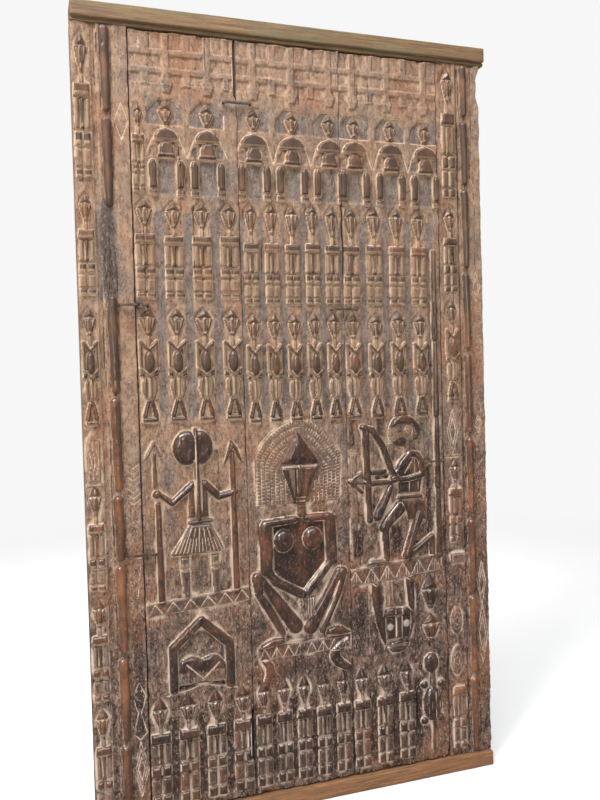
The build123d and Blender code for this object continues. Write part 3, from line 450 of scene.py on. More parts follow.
def shrine(tool):
    """A mother figure on a stool under a hatched arch."""
    arch = [(403, 714), (402, 780), (402, 840), (418, 866), (440, 891), (470, 912), (502, 924), (545, 922),
            (567, 909), (590, 884), (612, 857), (629, 838), (626, 780), (622, 716)]
    tool.pad(arch, 4, 3, 0.3)
    mask = [(497, 712), (466, 800), (466, 815), (508, 902), (514, 902), (568, 818), (567, 800), (531, 712)]

    def off_mask(x, z):
        return inside_outline(mask, np.array([[x]]), np.array([[z]]))[0, 0] < -3

    for ring in range(8):
        share = 0.98 - 0.106 * ring
        path = [(517 + (x - 517) * share, 715 + (z - 715) * share ** 0.75) for x, z in arch]
        for (ax, az), (bx, bz) in zip(path, path[1:]):
            marks = max(round(math.dist((ax, az), (bx, bz)) / 8.4), 1)
            for mark in range(marks):
                x = ax + (bx - ax) * (mark + 0.5) / marks
                z = az + (bz - az) * (mark + 0.5) / marks
                away = 1 / math.dist((x, z), (517, 790))
                end = (x + 8.5 * (517 - x) * away, z + 5 * (790 - z) * away * (z > 800) - 1)
                if off_mask(*end):
                    tool.groove([(x, z), end], 2.8, 2.4)
            if off_mask(0.5 * (ax + bx), 0.5 * (az + bz)):
                tool.groove([(ax, az), (bx, bz)], 2.4, 1.8)
    tool.pad([(466, 812), (466, 818), (511, 901), (569, 820), (568, 810)], 13, 15, 0.95)
    tool.pad([(466, 808), (568, 808), (531, 713), (497, 713)], 9, 5, 0.75)
    tool.pad([(480, 804), (506, 804), (506, 732), (497, 724)], 9.5, 4, 0.3)
    tool.pad([(527, 804), (556, 804), (532, 734), (527, 734)], 10.5, 4, 0.8)
    tool.groove([(468, 809), (562, 809)], 3.4, 3.5)
    tool.bar([(514, 804), (514, 742)], 13, 14, 14, polish=0.8)
    tool.groove([(507, 800), (507, 738)], 2.6, 2.4)
    for z in (731, 722):
        tool.groove([(503, z), (528, z)], 2.8, 2.4)
    tool.pad([(507, 684), (531, 684), (530, 712), (508, 712)], 7, 5, 0.6, False)
    tool.dome(519, 690, 12, 11, 10, 0.9, 2)
    torso = [(404, 679), (500, 685), (528, 687), (560, 689), (606, 684), (608, 560), (560, 506), (526, 484),
             (470, 500), (410, 556)]
    tool.pad(torso, 1.6, 2, 0.75)
    tool.sink([(442, 664), (577, 664), (577, 572), (522, 496), (444, 548)], 1, 5, soot=0.8)
    tool.groove([(444, 660), (443, 546), (480, 520), (521, 497), (550, 528), (577, 560), (578, 660)], 4, 1.6)
    for arm in ([(500, 676), (425, 670), (424, 560), (448, 524), (516, 486)],
                [(530, 678), (592, 676), (596, 600), (592, 562), (560, 526), (530, 492)]):
        tool.bar(arm, 18, 11, 25, 9, 0.85)
    for path in ([(425, 664), (424, 556)], [(594, 668), (596, 580)]):
        tool.bar(path, 31, 11, 31, 11, 0.85)
    for x, wide in ((470, 25), (546, 26)):
        tool.sink([(x + (wide + 5) * math.cos(turn / 8 * math.pi), 625 + 33 * math.sin(turn / 8 * math.pi))
                   for turn in range(16)], 0, 2, dust=0.9)
        tool.dome(x, 624, wide, 28.5, 14, 1, 2)
    for thigh, end in (([(402, 540), (442, 486), (496, 408)], 38),
                       ([(614, 536), (580, 470), (536, 400)], 36)):
        tool.bar(thigh, 20, 9.5, end, 11, 0.75)
    for shin in ([(398, 540), (404, 500), (462, 394)], [(624, 532), (606, 474), (566, 388)]):
        tool.bar(shin, 26, 12, 16, 9, 0.85)
    tool.groove([(412, 500), (440, 462), (470, 408), (466, 388)], 3.4, 3.4)
    tool.groove([(612, 512), (594, 462), (556, 388)], 3.4, 3.4)
    tool.pad([(400, 358), (404, 370), (430, 383), (466, 385), (466, 370)], 10, 6, 1, False)
    tool.pad([(576, 376), (580, 390), (596, 397), (620, 393), (644, 374), (612, 372)], 10, 6, 1, False)
    tool.pad([(500, 478), (553, 480), (543, 420), (519, 420)], 8, 4, 0.35)
    for i in range(7):
        tool.groove([(505 + 7.4 * i, 476), (514 + 5.2 * i, 426 + 3 * abs(i - 3))], 2.8, 2.4)
    zigzag(tool, 398, 643, 332, 4, 33, 8, 1)
    tool.sink([(437, 276), (586, 276), (590, 331), (436, 329)], 1, 12, soot=0.55)
    tool.pad([(402, 334), (422, 334), (436, 318), (438, 298), (426, 276), (400, 258), (410, 280), (416, 300),
              (414, 316)], 9.5, 6, 0.9, False)
    tool.pad([(640, 368), (606, 352), (588, 336), (585, 314), (598, 293), (630, 276), (644, 288), (624, 303),
              (613, 318), (614, 336), (634, 354)], 10, 7, 0.85, False)


def archer(tool):
    """A kneeling figure that draws a bow, its arrow to the left."""
    for left, right, low, high in ((650, 672, 838, 934), (727, 756, 866, 934), (768, 792, 806, 838)):
        tool.sink(box(left, right, low, high), 1.5, 5, soot=0.7)
    tool.pad([(650, 555), (672, 555), (672, 830), (652, 830)], 3, 3, 0.2)
    tool.bar([(697, 894), (700, 780), (704, 656)], 19, 9, 17, 6, 0.75)
    tool.bar([(690, 896), (716, 888), (742, 850), (758, 812), (769, 778)], 17, 10, 18, 6, 0.9)
    tool.bar([(765, 738), (748, 706), (726, 664)], 18, 10, 26, 8, 0.85)
    tool.bar([(712, 750), (766, 752)], 15, 9, 14, 5, 0.85)
    tool.bar([(714, 778), (748, 779)], 14, 5, 14, 4, 0.7)
    tool.bar([(650, 757), (692, 754)], 10, 6, 10, 4, 0.5)
    tool.bar([(651, 759), (682, 779)], 8, 7, 9, polish=0.6)
    tool.bar([(651, 756), (684, 730)], 8, 7, 10, polish=0.7)
    tool.dome(802, 878, 40, 38, 8, 0.3, 3)
    tool.pad([(764, 894), (774, 913), (790, 922), (808, 924), (832, 917), (848, 898), (851, 876), (843, 856),
              (833, 860), (834, 884), (826, 899), (798, 901), (780, 897)], 12, 7, 1, False)
    tool.dome(815, 882, 9, 12, 10.5, 0.15, 2.4)
    tool.groove([(804, 886), (810, 896), (820, 896), (828, 886), (825, 872), (816, 864)], 3.2, 2.4)
    tool.dome(789, 884, 7, 5, 10, 0.9, 2)
    tool.dome(794, 856, 20, 13, 9, 0.6, 2.2)
    for z in (867, 859, 851):
        tool.groove([(758, z), (776, z + 1)], 2.6, 2.2)
    tool.bar([(814, 848), (815, 828)], 18, 6, polish=0.3)
    chest = [(786, 720), (850, 720), (856, 760), (860, 804), (846, 826), (812, 828), (790, 806)]
    tool.pad(chest, 5.5, 4, 0.6)
    tool.pad([(804, 772), (838, 772), (834, 812), (822, 806)], 7, 4, 0.8)
    for fold in ([(804, 772), (830, 812)], [(832, 772), (834, 812)], [(816, 724), (817, 748)],
                 [(841, 722), (843, 748)]):
        tool.groove(fold, 3, 2.6)
    tool.bar([(818, 820), (796, 800), (780, 776)], 18, 11, 13, 6, 0.75)
    tool.bar([(820, 822), (842, 818), (853, 800), (855, 768)], 18, 11, 17, 6, 0.75)
    tool.bar([(855, 766), (812, 757), (782, 757)], 18, 11.5, 13, 6, 0.8)
    tool.dome(775, 759, 14, 11, 12.5, 0.6, 2.2)
    tool.groove([(764, 760), (790, 758)], 2.4, 2)
    tool.bar([(788, 709), (850, 709)], 11, 8, 11, 4, 0.6)
    for z in (716, 702):
        tool.groove([(784, z + 1), (852, z)], 2.6, 2.2)
    tool.pad([(794, 699), (856, 699), (862, 672), (846, 648), (812, 650)], 8, 6, 0.8, False)
    tool.bar([(792, 684), (762, 656), (744, 634)], 36, 11, 28, 12, 0.85)
    tool.groove([(792, 698), (806, 672), (812, 648)], 3, 3)
    tool.bar([(746, 636), (748, 590), (750, 556)], 22, 10, 17, 7, 0.75)
    tool.pad([(690, 541), (756, 539), (758, 550), (740, 552), (704, 553)], 6, 4, 0.4)
    tool.bar([(846, 662), (826, 612), (806, 556)], 26, 12, 22, 9, 0.95)
    tool.bar([(808, 552), (846, 576), (880, 600)], 18, 9.5, 15, 6, 0.8)
    tool.bar([(882, 598), (881, 551)], 16, 9, 15, 6, 0.75)
    tool.bar([(858, 700), (862, 650)], 12, 6, 10, polish=0.4)
    for left, right, low, high in ((864, 888, 560, 812), (652, 690, 556, 640), (762, 800, 556, 640)):
        tool.sink(box(left, right, low, high), 1.5, 8, soot=0.8)


def horned_face(tool):
    """A mask with two tall horns and pale eyes."""
    for left, right, low, high in ((652, 690, 296, 480), (828, 846, 296, 480), (700, 740, 296, 400)):
        tool.sink(box(left, right, low, high), 1, 8, soot=0.6)
    tool.pad([(703, 494), (733, 494), (735, 462), (741, 450), (736, 430), (736, 404), (742, 402), (744, 340),
              (742, 320), (728, 348), (714, 392), (706, 440)], 10.5, 8, 0.95)
    tool.pad([(800, 500), (826, 500), (827, 440), (825, 390), (818, 352), (808, 334), (800, 334), (812, 392),
              (806, 440)], 10.5, 7, 0.95)
    tool.pad([(744, 426), (798, 426), (796, 498), (742, 496)], 3, 3, 0.1)
    for x in (752, 763):
        tool.groove([(x, 430), (x - 2, 494)], 2.8, 2)
    tool.pad([(742, 340), (812, 340), (814, 402), (738, 402)], 6, 4, 0.85)
    brow = [(735, 402), (812, 402), (816, 410), (802, 422), (776, 420), (760, 424), (742, 420)]
    tool.pad(brow, 10, 6, 0.85, False)
    tool.pad([(769, 404), (785, 404), (786, 342), (769, 342)], 10, 4, 0.6)
    for x in (767, 786):
        tool.groove([(x, 418), (x + 1, 342)], 3.2, 3)
    for x, z, wide in ((752, 374, 10), (798, 379, 11)):
        tool.dome(x, z, wide, wide + 1, 9.5, -0.6, 2.4)
    tool.pad([(740, 326), (758, 335), (776, 339), (790, 337), (803, 329), (780, 325)], 10, 4, 0.7)
    tool.pad([(744, 320), (801, 320), (795, 311), (776, 303), (758, 306)], 10.5, 6, 0.85, False)
    tool.groove([(740, 324), (804, 324)], 3.2, 2.8)
    tool.groove([(696, 300), (696, 486)], 2.4, 1.6)
    tool.groove([(662, 408), (702, 409)], 2.8, 2.2)


def tortoise(tool):
    """A tortoise seen from above, its shell ribbed."""
    tool.dome(870, 263, 21, 26, 12, 0.95, 2)
    tool.bar([(874, 236), (876, 200)], 16, 6, polish=0.3)
    for x, z in ((849, 206), (898, 204), (848, 110), (896, 112)):
        tool.dome(x, z, 10, 10, 8, 0.8, 2)
    tool.dome(872, 153, 27, 46, 13, 0.95, 2.2)
    for x in (-14, -5, 5, 14):
        tool.groove([(872 + x, 119), (872 + 1.2 * x, 153), (872 + x, 187)], 2.6, 2)
    tool.bar([(876, 100), (876, 28)], 12, 7, 9, polish=0.6)


# Boards

FRAME_LEFT, SILL_TOP = -525, 40
BASE, ARCH, BELLY, BLOCK, NICHE, FRET, LEAF_TOP = 43, 331, 973, 1245, 1495, 1743, 1883
ROW_DROP = 12
LEAF_THICK, JAMB_THICK, JAMB_TOP = 34, 60, 1887


def figure_rows(face, xs, width, niches, niche_width, drop, base_xs):
    """The rows of masks and figures over and under a plank's picture."""
    luck = face.luck
    marks = LOW_ROW_FIGURE if drop else ROW_FIGURE
    for row, wide, foot, top, stain in ((xs, 12, BELLY + 10, NICHE - 30, {"ash": 0.9}),
                                        (base_xs, 14, BASE + 20, ARCH - 60, {"soot": 0.7})):
        step = row[1] - row[0]
        for x in [row[0] - step / 2, *[x + step / 2 for x in row]]:
            Chisel(face, x, 0).sink(box(-wide, wide, foot, top), 1, 5, **stain)
    for x in niches:
        niche(Chisel(face, x, NICHE), niche_width + 6, luck.uniform(0.64, 0.8))
    for x in xs:
        block_figure(Chisel(face, x, BLOCK - drop, width / FIGURE_WIDTH, luck.uniform(0.985, 1.01)), marks)
        belly_figure(Chisel(face, x, BELLY - drop, width / FIGURE_WIDTH, luck.uniform(0.985, 1.01)))
    for x in base_xs:
        block_figure(Chisel(face, x, BASE, width / 45, luck.uniform(0.97, 1)), BASE_FIGURE, dusty=0)


CRACK_STEP = 14


def drying_cracks(face, count, longest):
    """Cracks that wander up the grain."""
    luck = face.luck
    left, right = float(face.x[0, 0]) + 15, float(face.x[0, -1]) - 15
    foot, top = float(face.z[0, 0]) + 5, float(face.z[-1, 0]) - 5
    tool = Chisel(face, 0, 0)
    for _ in range(count):
        x, z = luck.uniform(left, right), luck.uniform(foot, top)
        length, path = luck.uniform(0.2, 1) * longest, []
        for _ in range(int(length / CRACK_STEP) + 2):
            path.append((x, z))
            x, z = x + luck.normal(0, 0.9), z + CRACK_STEP
        tool.groove(path, luck.uniform(1.3, 2.4), luck.uniform(1.2, 3.5), "cracks")


def plank_left_face():
    face = Face(-397, -144, BASE, LEAF_TOP, 3)
    fret(Chisel(face, 0, FRET), -397, -144, [-312, -214])
    figure_rows(face, [-371.4, -304.1, -236.9, -169.6], 45, [-316, -217.4], 78.4, 0,
                [-371.4, -304.1, -236.9, -169.6])
    block_figure(Chisel(face, -380, NICHE - 2, 0.6, 0.9), ROW_FIGURE)
    tool = Chisel(face, FRAME_LEFT, SILL_TOP)
    spear_bearer(tool)
    zigzag(tool, 128, 381, 472, 16, 33, 6, 1)
    gable_house(tool)
    tool.groove([(129, 268), (129, 512)], 2.6, 2)
    drying_cracks(face, 14, 260)
    return face


def plank_middle_face():
    face = Face(-143, 122, BASE, LEAF_TOP, 5)
    fret(Chisel(face, 0, FRET), -143, 122, [-101, -3, 95])
    figure_rows(face, [-116.1, -63.3, -10.5, 42.3, 95.1], 37, [-102.9, -5.2, 92.5], 76.6, ROW_DROP,
                [-116.1, -63.3, -10.5, 42.3, 95.1])
    tool = Chisel(face, FRAME_LEFT, SILL_TOP)
    shrine(tool)
    drying_cracks(face, 16, 260)
    return face


def plank_right_face():
    face = Face(123, 396, BASE, LEAF_TOP, 7)
    fret(Chisel(face, 0, FRET), 123, 396, [158, 254, 359])
    figure_rows(face, [146.6, 209.9, 273.1, 336.4], 42, [161.2, 262.2, 360.5], 76.4, ROW_DROP,
                [146.9, 210.6, 274.3])
    tool = Chisel(face, FRAME_LEFT, SILL_TOP)
    archer(tool)
    zigzag(tool, 636, 906, 487, 22, 44, 6, 6)
    horned_face(tool)
    for chin, brow, top in ((406, 458, 502), (322, 366, 396)):
        head(Chisel(face, 348, SILL_TOP), 50, chin, brow, top, 10.5, 0.4)
    tortoise(tool)
    for low, high in ((588, 760), (772, 950), (962, 1150), (1162, 1388)):
        Chisel(face, 378, 0).bar([(0, low), (0, high)], 17, 9, 14, 7, 0.85)
    drying_cracks(face, 16, 260)
    return face


def jamb_left_face():
    face = Face(-525, -400, SILL_TOP, JAMB_TOP, 11)
    tool = Chisel(face, FRAME_LEFT, SILL_TOP)
    tool.sink(box(42, 56, 0, 1850), 3.5, 3)
    bead(tool, 74, 0, (182, 388, 605, 768, 995, 1206), 1206)
    bead(tool, 74, 1424, (1640,), 1847)
    for foot, height in ((10, 265), (275, 256), (530, 262), (1212, 250), (1470, 358)):
        block_figure(Chisel(face, FRAME_LEFT + 21, SILL_TOP + foot, 0.76, height / 250), ROW_FIGURE)
    belly_figure(Chisel(face, FRAME_LEFT + 21, SILL_TOP + 932, 0.76, 1))
    gable = [(5, 800), (36, 800), (36, 895), (20, 922), (5, 895)]
    tool.pad(gable, 3.5, 3, 0.2)
    tool.ring(gable, 2.6, 2)
    for x in (12, 20, 28):
        tool.groove([(x + 3 * math.sin(z / 11), z) for z in range(806, 900, 6)], 2.4, 2.2)
    tool.pad(box(2, 38, 788, 797), 5, 3, 0.2)
    herringbone(tool, 92, 124, 742, 850, 14)
    lozenge(tool, 107, 1588, 1672, 16)
    tool.sink(box(90, 124, 186, 480), 0.5, 8, soot=0.65)
    lozenge(tool, 106, 52, 182, 18, 3)
    tool.ring([(106, 323), (121, 290), (115, 264), (109, 250), (122, 202), (106, 186), (91, 202), (103, 250),
               (98, 264), (92, 290)], 3.6, 2.2)
    for x in (101, 111):
        tool.groove([(x, 300), (x, 303)], 4, 2)
    tool.ring([(84, 618), (122, 616), (103, 642)], 2.6, 2)
    tool.ring([(96, 500), (110, 500), (113, 560), (120, 600), (88, 602), (94, 560)], 2.4, 1.8)
    for z in range(512, 600, 7):
        tool.groove([(97, z), (110, z + 2)], 2, 1.3)
    for line in ([(86, 478), (97, 500)], [(121, 476), (108, 502)], [(84, 490), (98, 512)],
                 [(126, 486), (109, 512)]):
        tool.groove(line, 2.4, 1.6)
    tool.groove([(86, 1030), (88, 1205)], 2.4, 1.8)
    worn = [(44, 1230), (62, 1206), (92, 1208), (106, 1250), (100, 1300), (96, 1400), (86, 1452), (52, 1452),
            (40, 1400)]
    tool.sink(worn, 2.5, 14, ash=1.8, soot=0.62, calm=1)
    for crack in ([(66, 1250), (60, 1300), (66, 1350)], [(74, 1236), (78, 1290), (72, 1362)],
                  [(88, 1240), (86, 1330)]):
        tool.groove(crack, 3, 2.5, "cracks")
    drying_cracks(face, 22, 340)
    return face


def jamb_right_face():
    face = Face(399, 525, SILL_TOP, JAMB_TOP, 13)
    tool = Chisel(face, FRAME_LEFT, SILL_TOP)
    tool.sink(box(979, 987, 0, 1850), 3.5, 2.5)
    bead(tool, 1001, 0, (210, 430, 640, 860, 1085, 1300, 1520, 1700), 1847, 20)
    for foot, height in ((563, 238), (1230, 236), (1470, 368)):
        place = Chisel(face, FRAME_LEFT + 955, SILL_TOP + foot, 0.8, height / 250)
        block_figure(place, ROW_FIGURE, dusty=0)
    block_figure(Chisel(face, FRAME_LEFT + 955, SILL_TOP, 0.8, 1.12), ROW_FIGURE, mask=False, dusty=0)
    belly_figure(Chisel(face, FRAME_LEFT + 955, SILL_TOP + 955, 0.8, 1))
    for z, tall in ((365, 38), (258, 40)):
        tool.dome(950, z, 16, tall, 5, 0.3, 1.8)
        for share in (1, 0.62, 0.3):
            tool.ring([(950 + 17 * share * math.cos(turn / 10 * math.pi),
                        z + tall * share * math.sin(turn / 10 * math.pi)) for turn in range(20)], 2.4, 1.8)
    lozenge(tool, 951, 815, 935, 16, 2)
    tool.pad(box(936, 982, 520, 548), 7, 4, 0.3)
    for z in (805, 812):
        tool.groove([(923, z), (966, z)], 2.4, 1.8)
    lozenge(tool, 1030, 1220, 1300, 13, 2)
    for z in range(1080, 1200, 16):
        tool.groove([(1020, z), (1044, z + 3)], 2.2, 1.5)
    lozenge(tool, 1029, 868, 914, 13, 2)
    for z in (820, 858, 864):
        tool.groove([(1008, z), (1046, z + 5)], 2.4, 1.8)
    for low in (680, 720, 760):
        tool.groove([(1010, low + 40), (1046, low)], 2.4, 1.8)
        tool.groove([(1012, low), (1044, low + 40)], 2.4, 1.8)
    lozenge(tool, 1030, 400, 520, 13, 2)
    lozenge(tool, 1030, 240, 400, 16, 2)
    drying_cracks(face, 22, 340)
    return face


CHIPPING = 0.6
ROUGH_BELOW, EVEN_ABOVE = 700, 1250
# One of these marks is painted shade in recesses and cracks, and the soot mark also carries a painted shadow.
MARKS = ("dust", "shine", "painted_recess_shade", "crest", "smoke", "soot")


def finish_face(face):
    """Weathers a carved face and returns its height and the marks that its colour follows."""
    luck, shape = face.luck, face.floor.shape

    def rough(across, up):
        """Smooth random bumps of the given widths, scaled to a spread of one."""
        field = blur(luck.normal(0, 1, shape).astype(np.float32), across, up)
        return field / (field.std() + 1e-6)

    x, z = face.x, face.z
    tired = np.clip(1.1 + 0.07 * rough(30, 60), 0.8, 1.25)
    form = blur(face.form, 0.6, 0.6) * tired
    solid = (face.form > 0.4).astype(np.float32)
    outside = np.clip(1 - face.form / 2.0, 0, 1)
    foot = np.clip((blur(face.form, 2.1, 2.1) - face.form - 0.2) / 1.3, 0, 1)
    halo = np.clip(2.8 * blur(solid, 7, 9), 0, 1) * outside
    rugged = np.interp(z, [ROUGH_BELOW, EVEN_ABOVE], [1.0, 0.35]).astype(np.float32) * (1 - 0.7 * face.calm)
    height = face.floor + form - face.cuts - face.cracks - 1.8 * np.maximum(foot, 0.6 * halo)
    height += 0.25 * rough(2.2, 6) + 0.45 * rough(8, 18)
    height -= (CHIPPING * np.clip(rough(2.5, 6) - 1.0, 0, 2) + 0.45 * rough(1.6, 3.4) * rugged) * outside
    rim = np.minimum(np.minimum(x - x[0, 0], x[0, -1] - x), np.minimum(z - z[0, 0], z[-1, 0] - z))
    rim = rim + 0.5 * rough(3, 8)
    height = height - (1 - pillow(np.maximum(rim, 0), 2.2))
    # Painted shade: recesses and cracks, lower than the surface round them, are marked here for darkening in
    # the colour.
    painted_recess_shade = np.clip((blur(height, 9.0, 9.0) - height) / 6.0 - 0.05 + 0.5 * face.cracks, 0, 1)
    crest = np.clip((height - blur(height, 2.6, 2.6)) / 1.3, 0, 1)
    cut = np.clip(face.cuts / 1.6, 0, 1)
    line = np.maximum(foot, 0.95 * cut) * np.clip(0.88 + 0.16 * rough(4, 8), 0.35, 1)
    stain = np.clip(blur(face.ash + face.soot, 2.0, 3.0), 0, 1)
    high = np.interp(z, [ROUGH_BELOW, EVEN_ABOVE], [1.0, 0.72]).astype(np.float32)
    broad = 0.62 * high * halo * np.clip(0.75 + 0.4 * rough(7, 14), 0, 1.4) * (1 - 0.85 * stain)
    shine = np.clip(blur(face.polish, 0.6, 0.6), -1, 1)
    spread = blur(face.dust, 1.5, 1.5) * np.clip(1 - 2.5 * shine, 0, 1)
    dust = np.clip(np.maximum(np.maximum(line, broad) * (1 - face.calm), spread), 0, 1)
    smoke = 0.8 * (1 - np.clip(1.6 * blur(solid, 10, 20), 0, 1)) * outside * (1 - 0.8 * face.calm)
    smoke = smoke + blur(face.ash, 3.0, 5.0)
    soot = blur(face.soot, 2.0, 4.0) * (1 - 0.8 * foot)
    return height, dict(zip(MARKS, (dust, shine, painted_recess_shade, crest, smoke, soot)))


def sampled(field, x, z, face):
    """The field at each place, between its samples."""
    gx = np.clip(x - face.x[0, 0], 0, field.shape[1] - 1.001)
    gz = np.clip(z - face.z[0, 0], 0, field.shape[0] - 1.001)
    cx, cz = gx.astype(int), gz.astype(int)
    fx, fz = gx - cx, gz - cz
    low = field[cz, cx] * (1 - fx) + field[cz, cx + 1] * fx
    high = field[cz + 1, cx] * (1 - fx) + field[cz + 1, cx + 1] * fx
    return low * (1 - fz) + high * fz


def select_where(mesh, kind, test):
    """In edit mode, selects the edges or faces that pass a test and nothing else."""
    bpy.ops.mesh.select_all(action="DESELECT")
    bpy.ops.mesh.select_mode(type=kind)
    form = bmesh.from_edit_mesh(mesh)
    for item in form.edges if kind == "EDGE" else form.faces:
        if test(item):
            item.select_set(True)
    form.select_flush(True)
    bmesh.update_edit_mesh(mesh)


MOST_CELLS = 94000
CHAMFER = 2.0


def carved_board(name, face, sides, thick, drift, slit):
    """A board with the carved face in front; its sides go back to a plain, chamfered rear face."""
    left, right, foot, top = sides
    height, marks = finish_face(face)
    cell = max(CELL, math.sqrt((right - left) * (top - foot) / MOST_CELLS))
    across, up = round((right - left) / cell), round((top - foot) / cell)
    bpy.ops.object.select_all(action="DESELECT")
    bpy.ops.mesh.primitive_grid_add(x_subdivisions=across, y_subdivisions=up, size=1)
    piece = bpy.context.object
    piece.name = name
    mesh = piece.data
    flat = np.empty(len(mesh.vertices) * 3, np.float32)
    mesh.vertices.foreach_get("co", flat)
    flat = flat.reshape(-1, 3)
    x = left + (flat[:, 0] - flat[:, 0].min()) / np.ptp(flat[:, 0]) * (right - left)
    z = foot + (flat[:, 1] - flat[:, 1].min()) / np.ptp(flat[:, 1]) * (top - foot)
    y = -sampled(height, x, z, face)
    x = x + (drift(x, z) if drift else 0)
    mesh.vertices.foreach_set("co", (np.stack([x, y, z], 1) * MM).astype(np.float32).ravel())
    mesh.update()
    bpy.ops.object.mode_set(mode="EDIT")
    if slit:
        slit_left, slit_right, slit_foot, slit_top = (value * MM for value in slit)
        select_where(mesh, "FACE", lambda part: slit_left < part.calc_center_median().x < slit_right
                     and slit_foot < part.calc_center_median().z < slit_top)
        bpy.ops.mesh.delete(type="FACE")
    select_where(mesh, "EDGE", lambda edge: edge.is_boundary)
    for depth, draw in ((thick - CHAMFER, 0), (thick, CHAMFER)):
        bpy.ops.mesh.extrude_region_move(TRANSFORM_OT_translate={"value": (0, MM, 0)})
        form = bmesh.from_edit_mesh(mesh)
        for vert in form.verts:
            if vert.select:
                vert.co.y = depth * MM
                vert.co.x = min(max(vert.co.x, (left + draw) * MM), (right - draw) * MM)
                vert.co.z = min(max(vert.co.z, (foot + draw) * MM), (top - draw) * MM)
        bmesh.update_edit_mesh(mesh)
    if slit:
        bpy.ops.mesh.fill()
    else:
        bpy.ops.mesh.edge_face_add()
    bpy.ops.object.mode_set(mode="OBJECT")
    bpy.ops.object.shade_smooth_by_angle(angle=math.radians(62))
    place = np.empty(len(mesh.vertices) * 3, np.float32)
    mesh.vertices.foreach_get("co", place)
    place = place.reshape(-1, 3) / MM
    front = (place[:, 1] < 0.3 * thick).astype(np.float32)
    for mark, field in marks.items():
        value = sampled(field, place[:, 0], place[:, 2], face) * front
        mesh.attributes.new(mark, "FLOAT", "POINT").data.foreach_set("value", value.astype(np.float32))
    return piece


# Finishes

class Value:
    """A shader socket that can be used in sums."""

    def __init__(self, home, socket):
        self.home, self.socket = home, socket

    def math(self, operation, *values):
        return self.home.node("ShaderNodeMath", {"operation": operation}, dict(enumerate(values)))

    def __add__(self, other):
        return self.math("ADD", self, other)

    def __sub__(self, other):
        return self.math("SUBTRACT", self, other)

    def __mul__(self, other):
        return self.math("MULTIPLY", self, other)

    def __rsub__(self, other):
        return self.math("SUBTRACT", other, self)

    __radd__, __rmul__ = __add__, __mul__


class Nodes:
    """A node tree and the one way that nodes come into it."""

    def __init__(self, tree):
        self.tree = tree
        tree.nodes.clear()

    def fill(self, socket, value):
        if isinstance(value, Value):
            self.tree.links.new(value.socket, socket)
        elif isinstance(value, tuple) and socket.type == "RGBA":
            socket.default_value = (*value, 1.0)
        else:
            socket.default_value = value

    def node(self, kind, settings, values, output=0):
        made = self.tree.nodes.new(kind)
        for key, value in settings.items():
            setattr(made, key, value)
        for key, value in values.items():
            self.fill(made.inputs[key], value)
        return Value(self, made.outputs[output]) if made.outputs else None


class Finish(Nodes):
    """A material and the means to build it."""

    def __init__(self, name):
        self.material = bpy.data.materials.new(name)
        self.material.use_nodes = True
        super().__init__(self.material.node_tree)

    def place(self, scale):
        here = self.node("ShaderNodeTexCoord", {}, {}, "Object")
        return self.node("ShaderNodeMapping", {}, {"Vector": here, "Scale": scale})

    def noise(self, scale, detail=3.0, rough=0.55, warp=0.0):
        return self.node("ShaderNodeTexNoise", {}, {"Vector": self.place(scale), "Scale": 1.0,
                                                   "Detail": detail, "Roughness": rough, "Distortion": warp})

    def spread(self, value, low, high, start=0.0, end=1.0):
        """Stretches low..high of a value to start..end, softly, and clips it there."""
        return self.node("ShaderNodeMapRange", {"interpolation_type": "SMOOTHSTEP"},
                         {"Value": value, "From Min": low, "From Max": high, "To Min": start, "To Max": end})

    def mix(self, share, one, other):
        return self.node("ShaderNodeMix", {"data_type": "RGBA"}, {0: share, 6: one, 7: other}, 2)

    def mark(self, name):
        return self.node("ShaderNodeAttribute", {"attribute_name": name}, {}, "Fac")

    def bump(self, height, strength, distance):
        return self.node("ShaderNodeBump", {}, {"Height": height, "Strength": strength, "Distance": distance})

    def surface(self, **values):
        return self.node("ShaderNodeBsdfPrincipled", {},
                         {name.replace("_", " "): value for name, value in values.items()})

    def finish(self, surface):
        self.node("ShaderNodeOutputMaterial", {}, {"Surface": surface})
        return self.material


LOAM, UMBER = (0.290, 0.182, 0.116), (0.150, 0.088, 0.056)
EARTH, PEAT = (0.178, 0.110, 0.082), (0.034, 0.018, 0.012)
ASH, SLATE = (0.165, 0.128, 0.106), (0.085, 0.066, 0.056)
# SOOT_AND_SHADOW is a real soot stain's colour, and also the colour of a painted shadow.
RUST, SOOT_AND_SHADOW = (0.190, 0.078, 0.038), (0.014, 0.007, 0.005)
RUSSET, TAR = (0.110, 0.040, 0.018), (0.028, 0.015, 0.011)
TAN_BARK, EMBER = (0.200, 0.076, 0.030), (0.070, 0.030, 0.016)
CHESTNUT, BARK = (0.135, 0.060, 0.031), (0.050, 0.029, 0.019)
# PIT_AND_RECESS_SHADE is near black, both for real chisel pits and for painted shade in recesses and cracks.
DUST, HUSK, PIT_AND_RECESS_SHADE = (0.400, 0.282, 0.185), (0.430, 0.322, 0.250), (0.010, 0.005, 0.003)
BONE = (0.27, 0.24, 0.22)
HONEY, RED_HONEY, OLD_HEART = (0.195, 0.115, 0.050), (0.290, 0.130, 0.050), (0.075, 0.038, 0.019)
DRIFTWOOD, LICHEN = (0.160, 0.122, 0.062), (0.085, 0.062, 0.030)
WATER_STAIN, SHAKE = (0.075, 0.052, 0.038), (0.05, 0.034, 0.026)
FORGE_BROWN, FORGE_BLACK, IRON_RUST = (0.130, 0.098, 0.074), (0.060, 0.046, 0.038), (0.135, 0.052, 0.022)
FLOOR_PALE, FLOOR_LIGHT = (0.80, 0.79, 0.77), (0.84, 0.83, 0.81)
BACKDROP, DUSK, DAYLIGHT = (0.93, 0.93, 0.93), (0.05, 0.055, 0.065), (0.97, 0.985, 1.0)


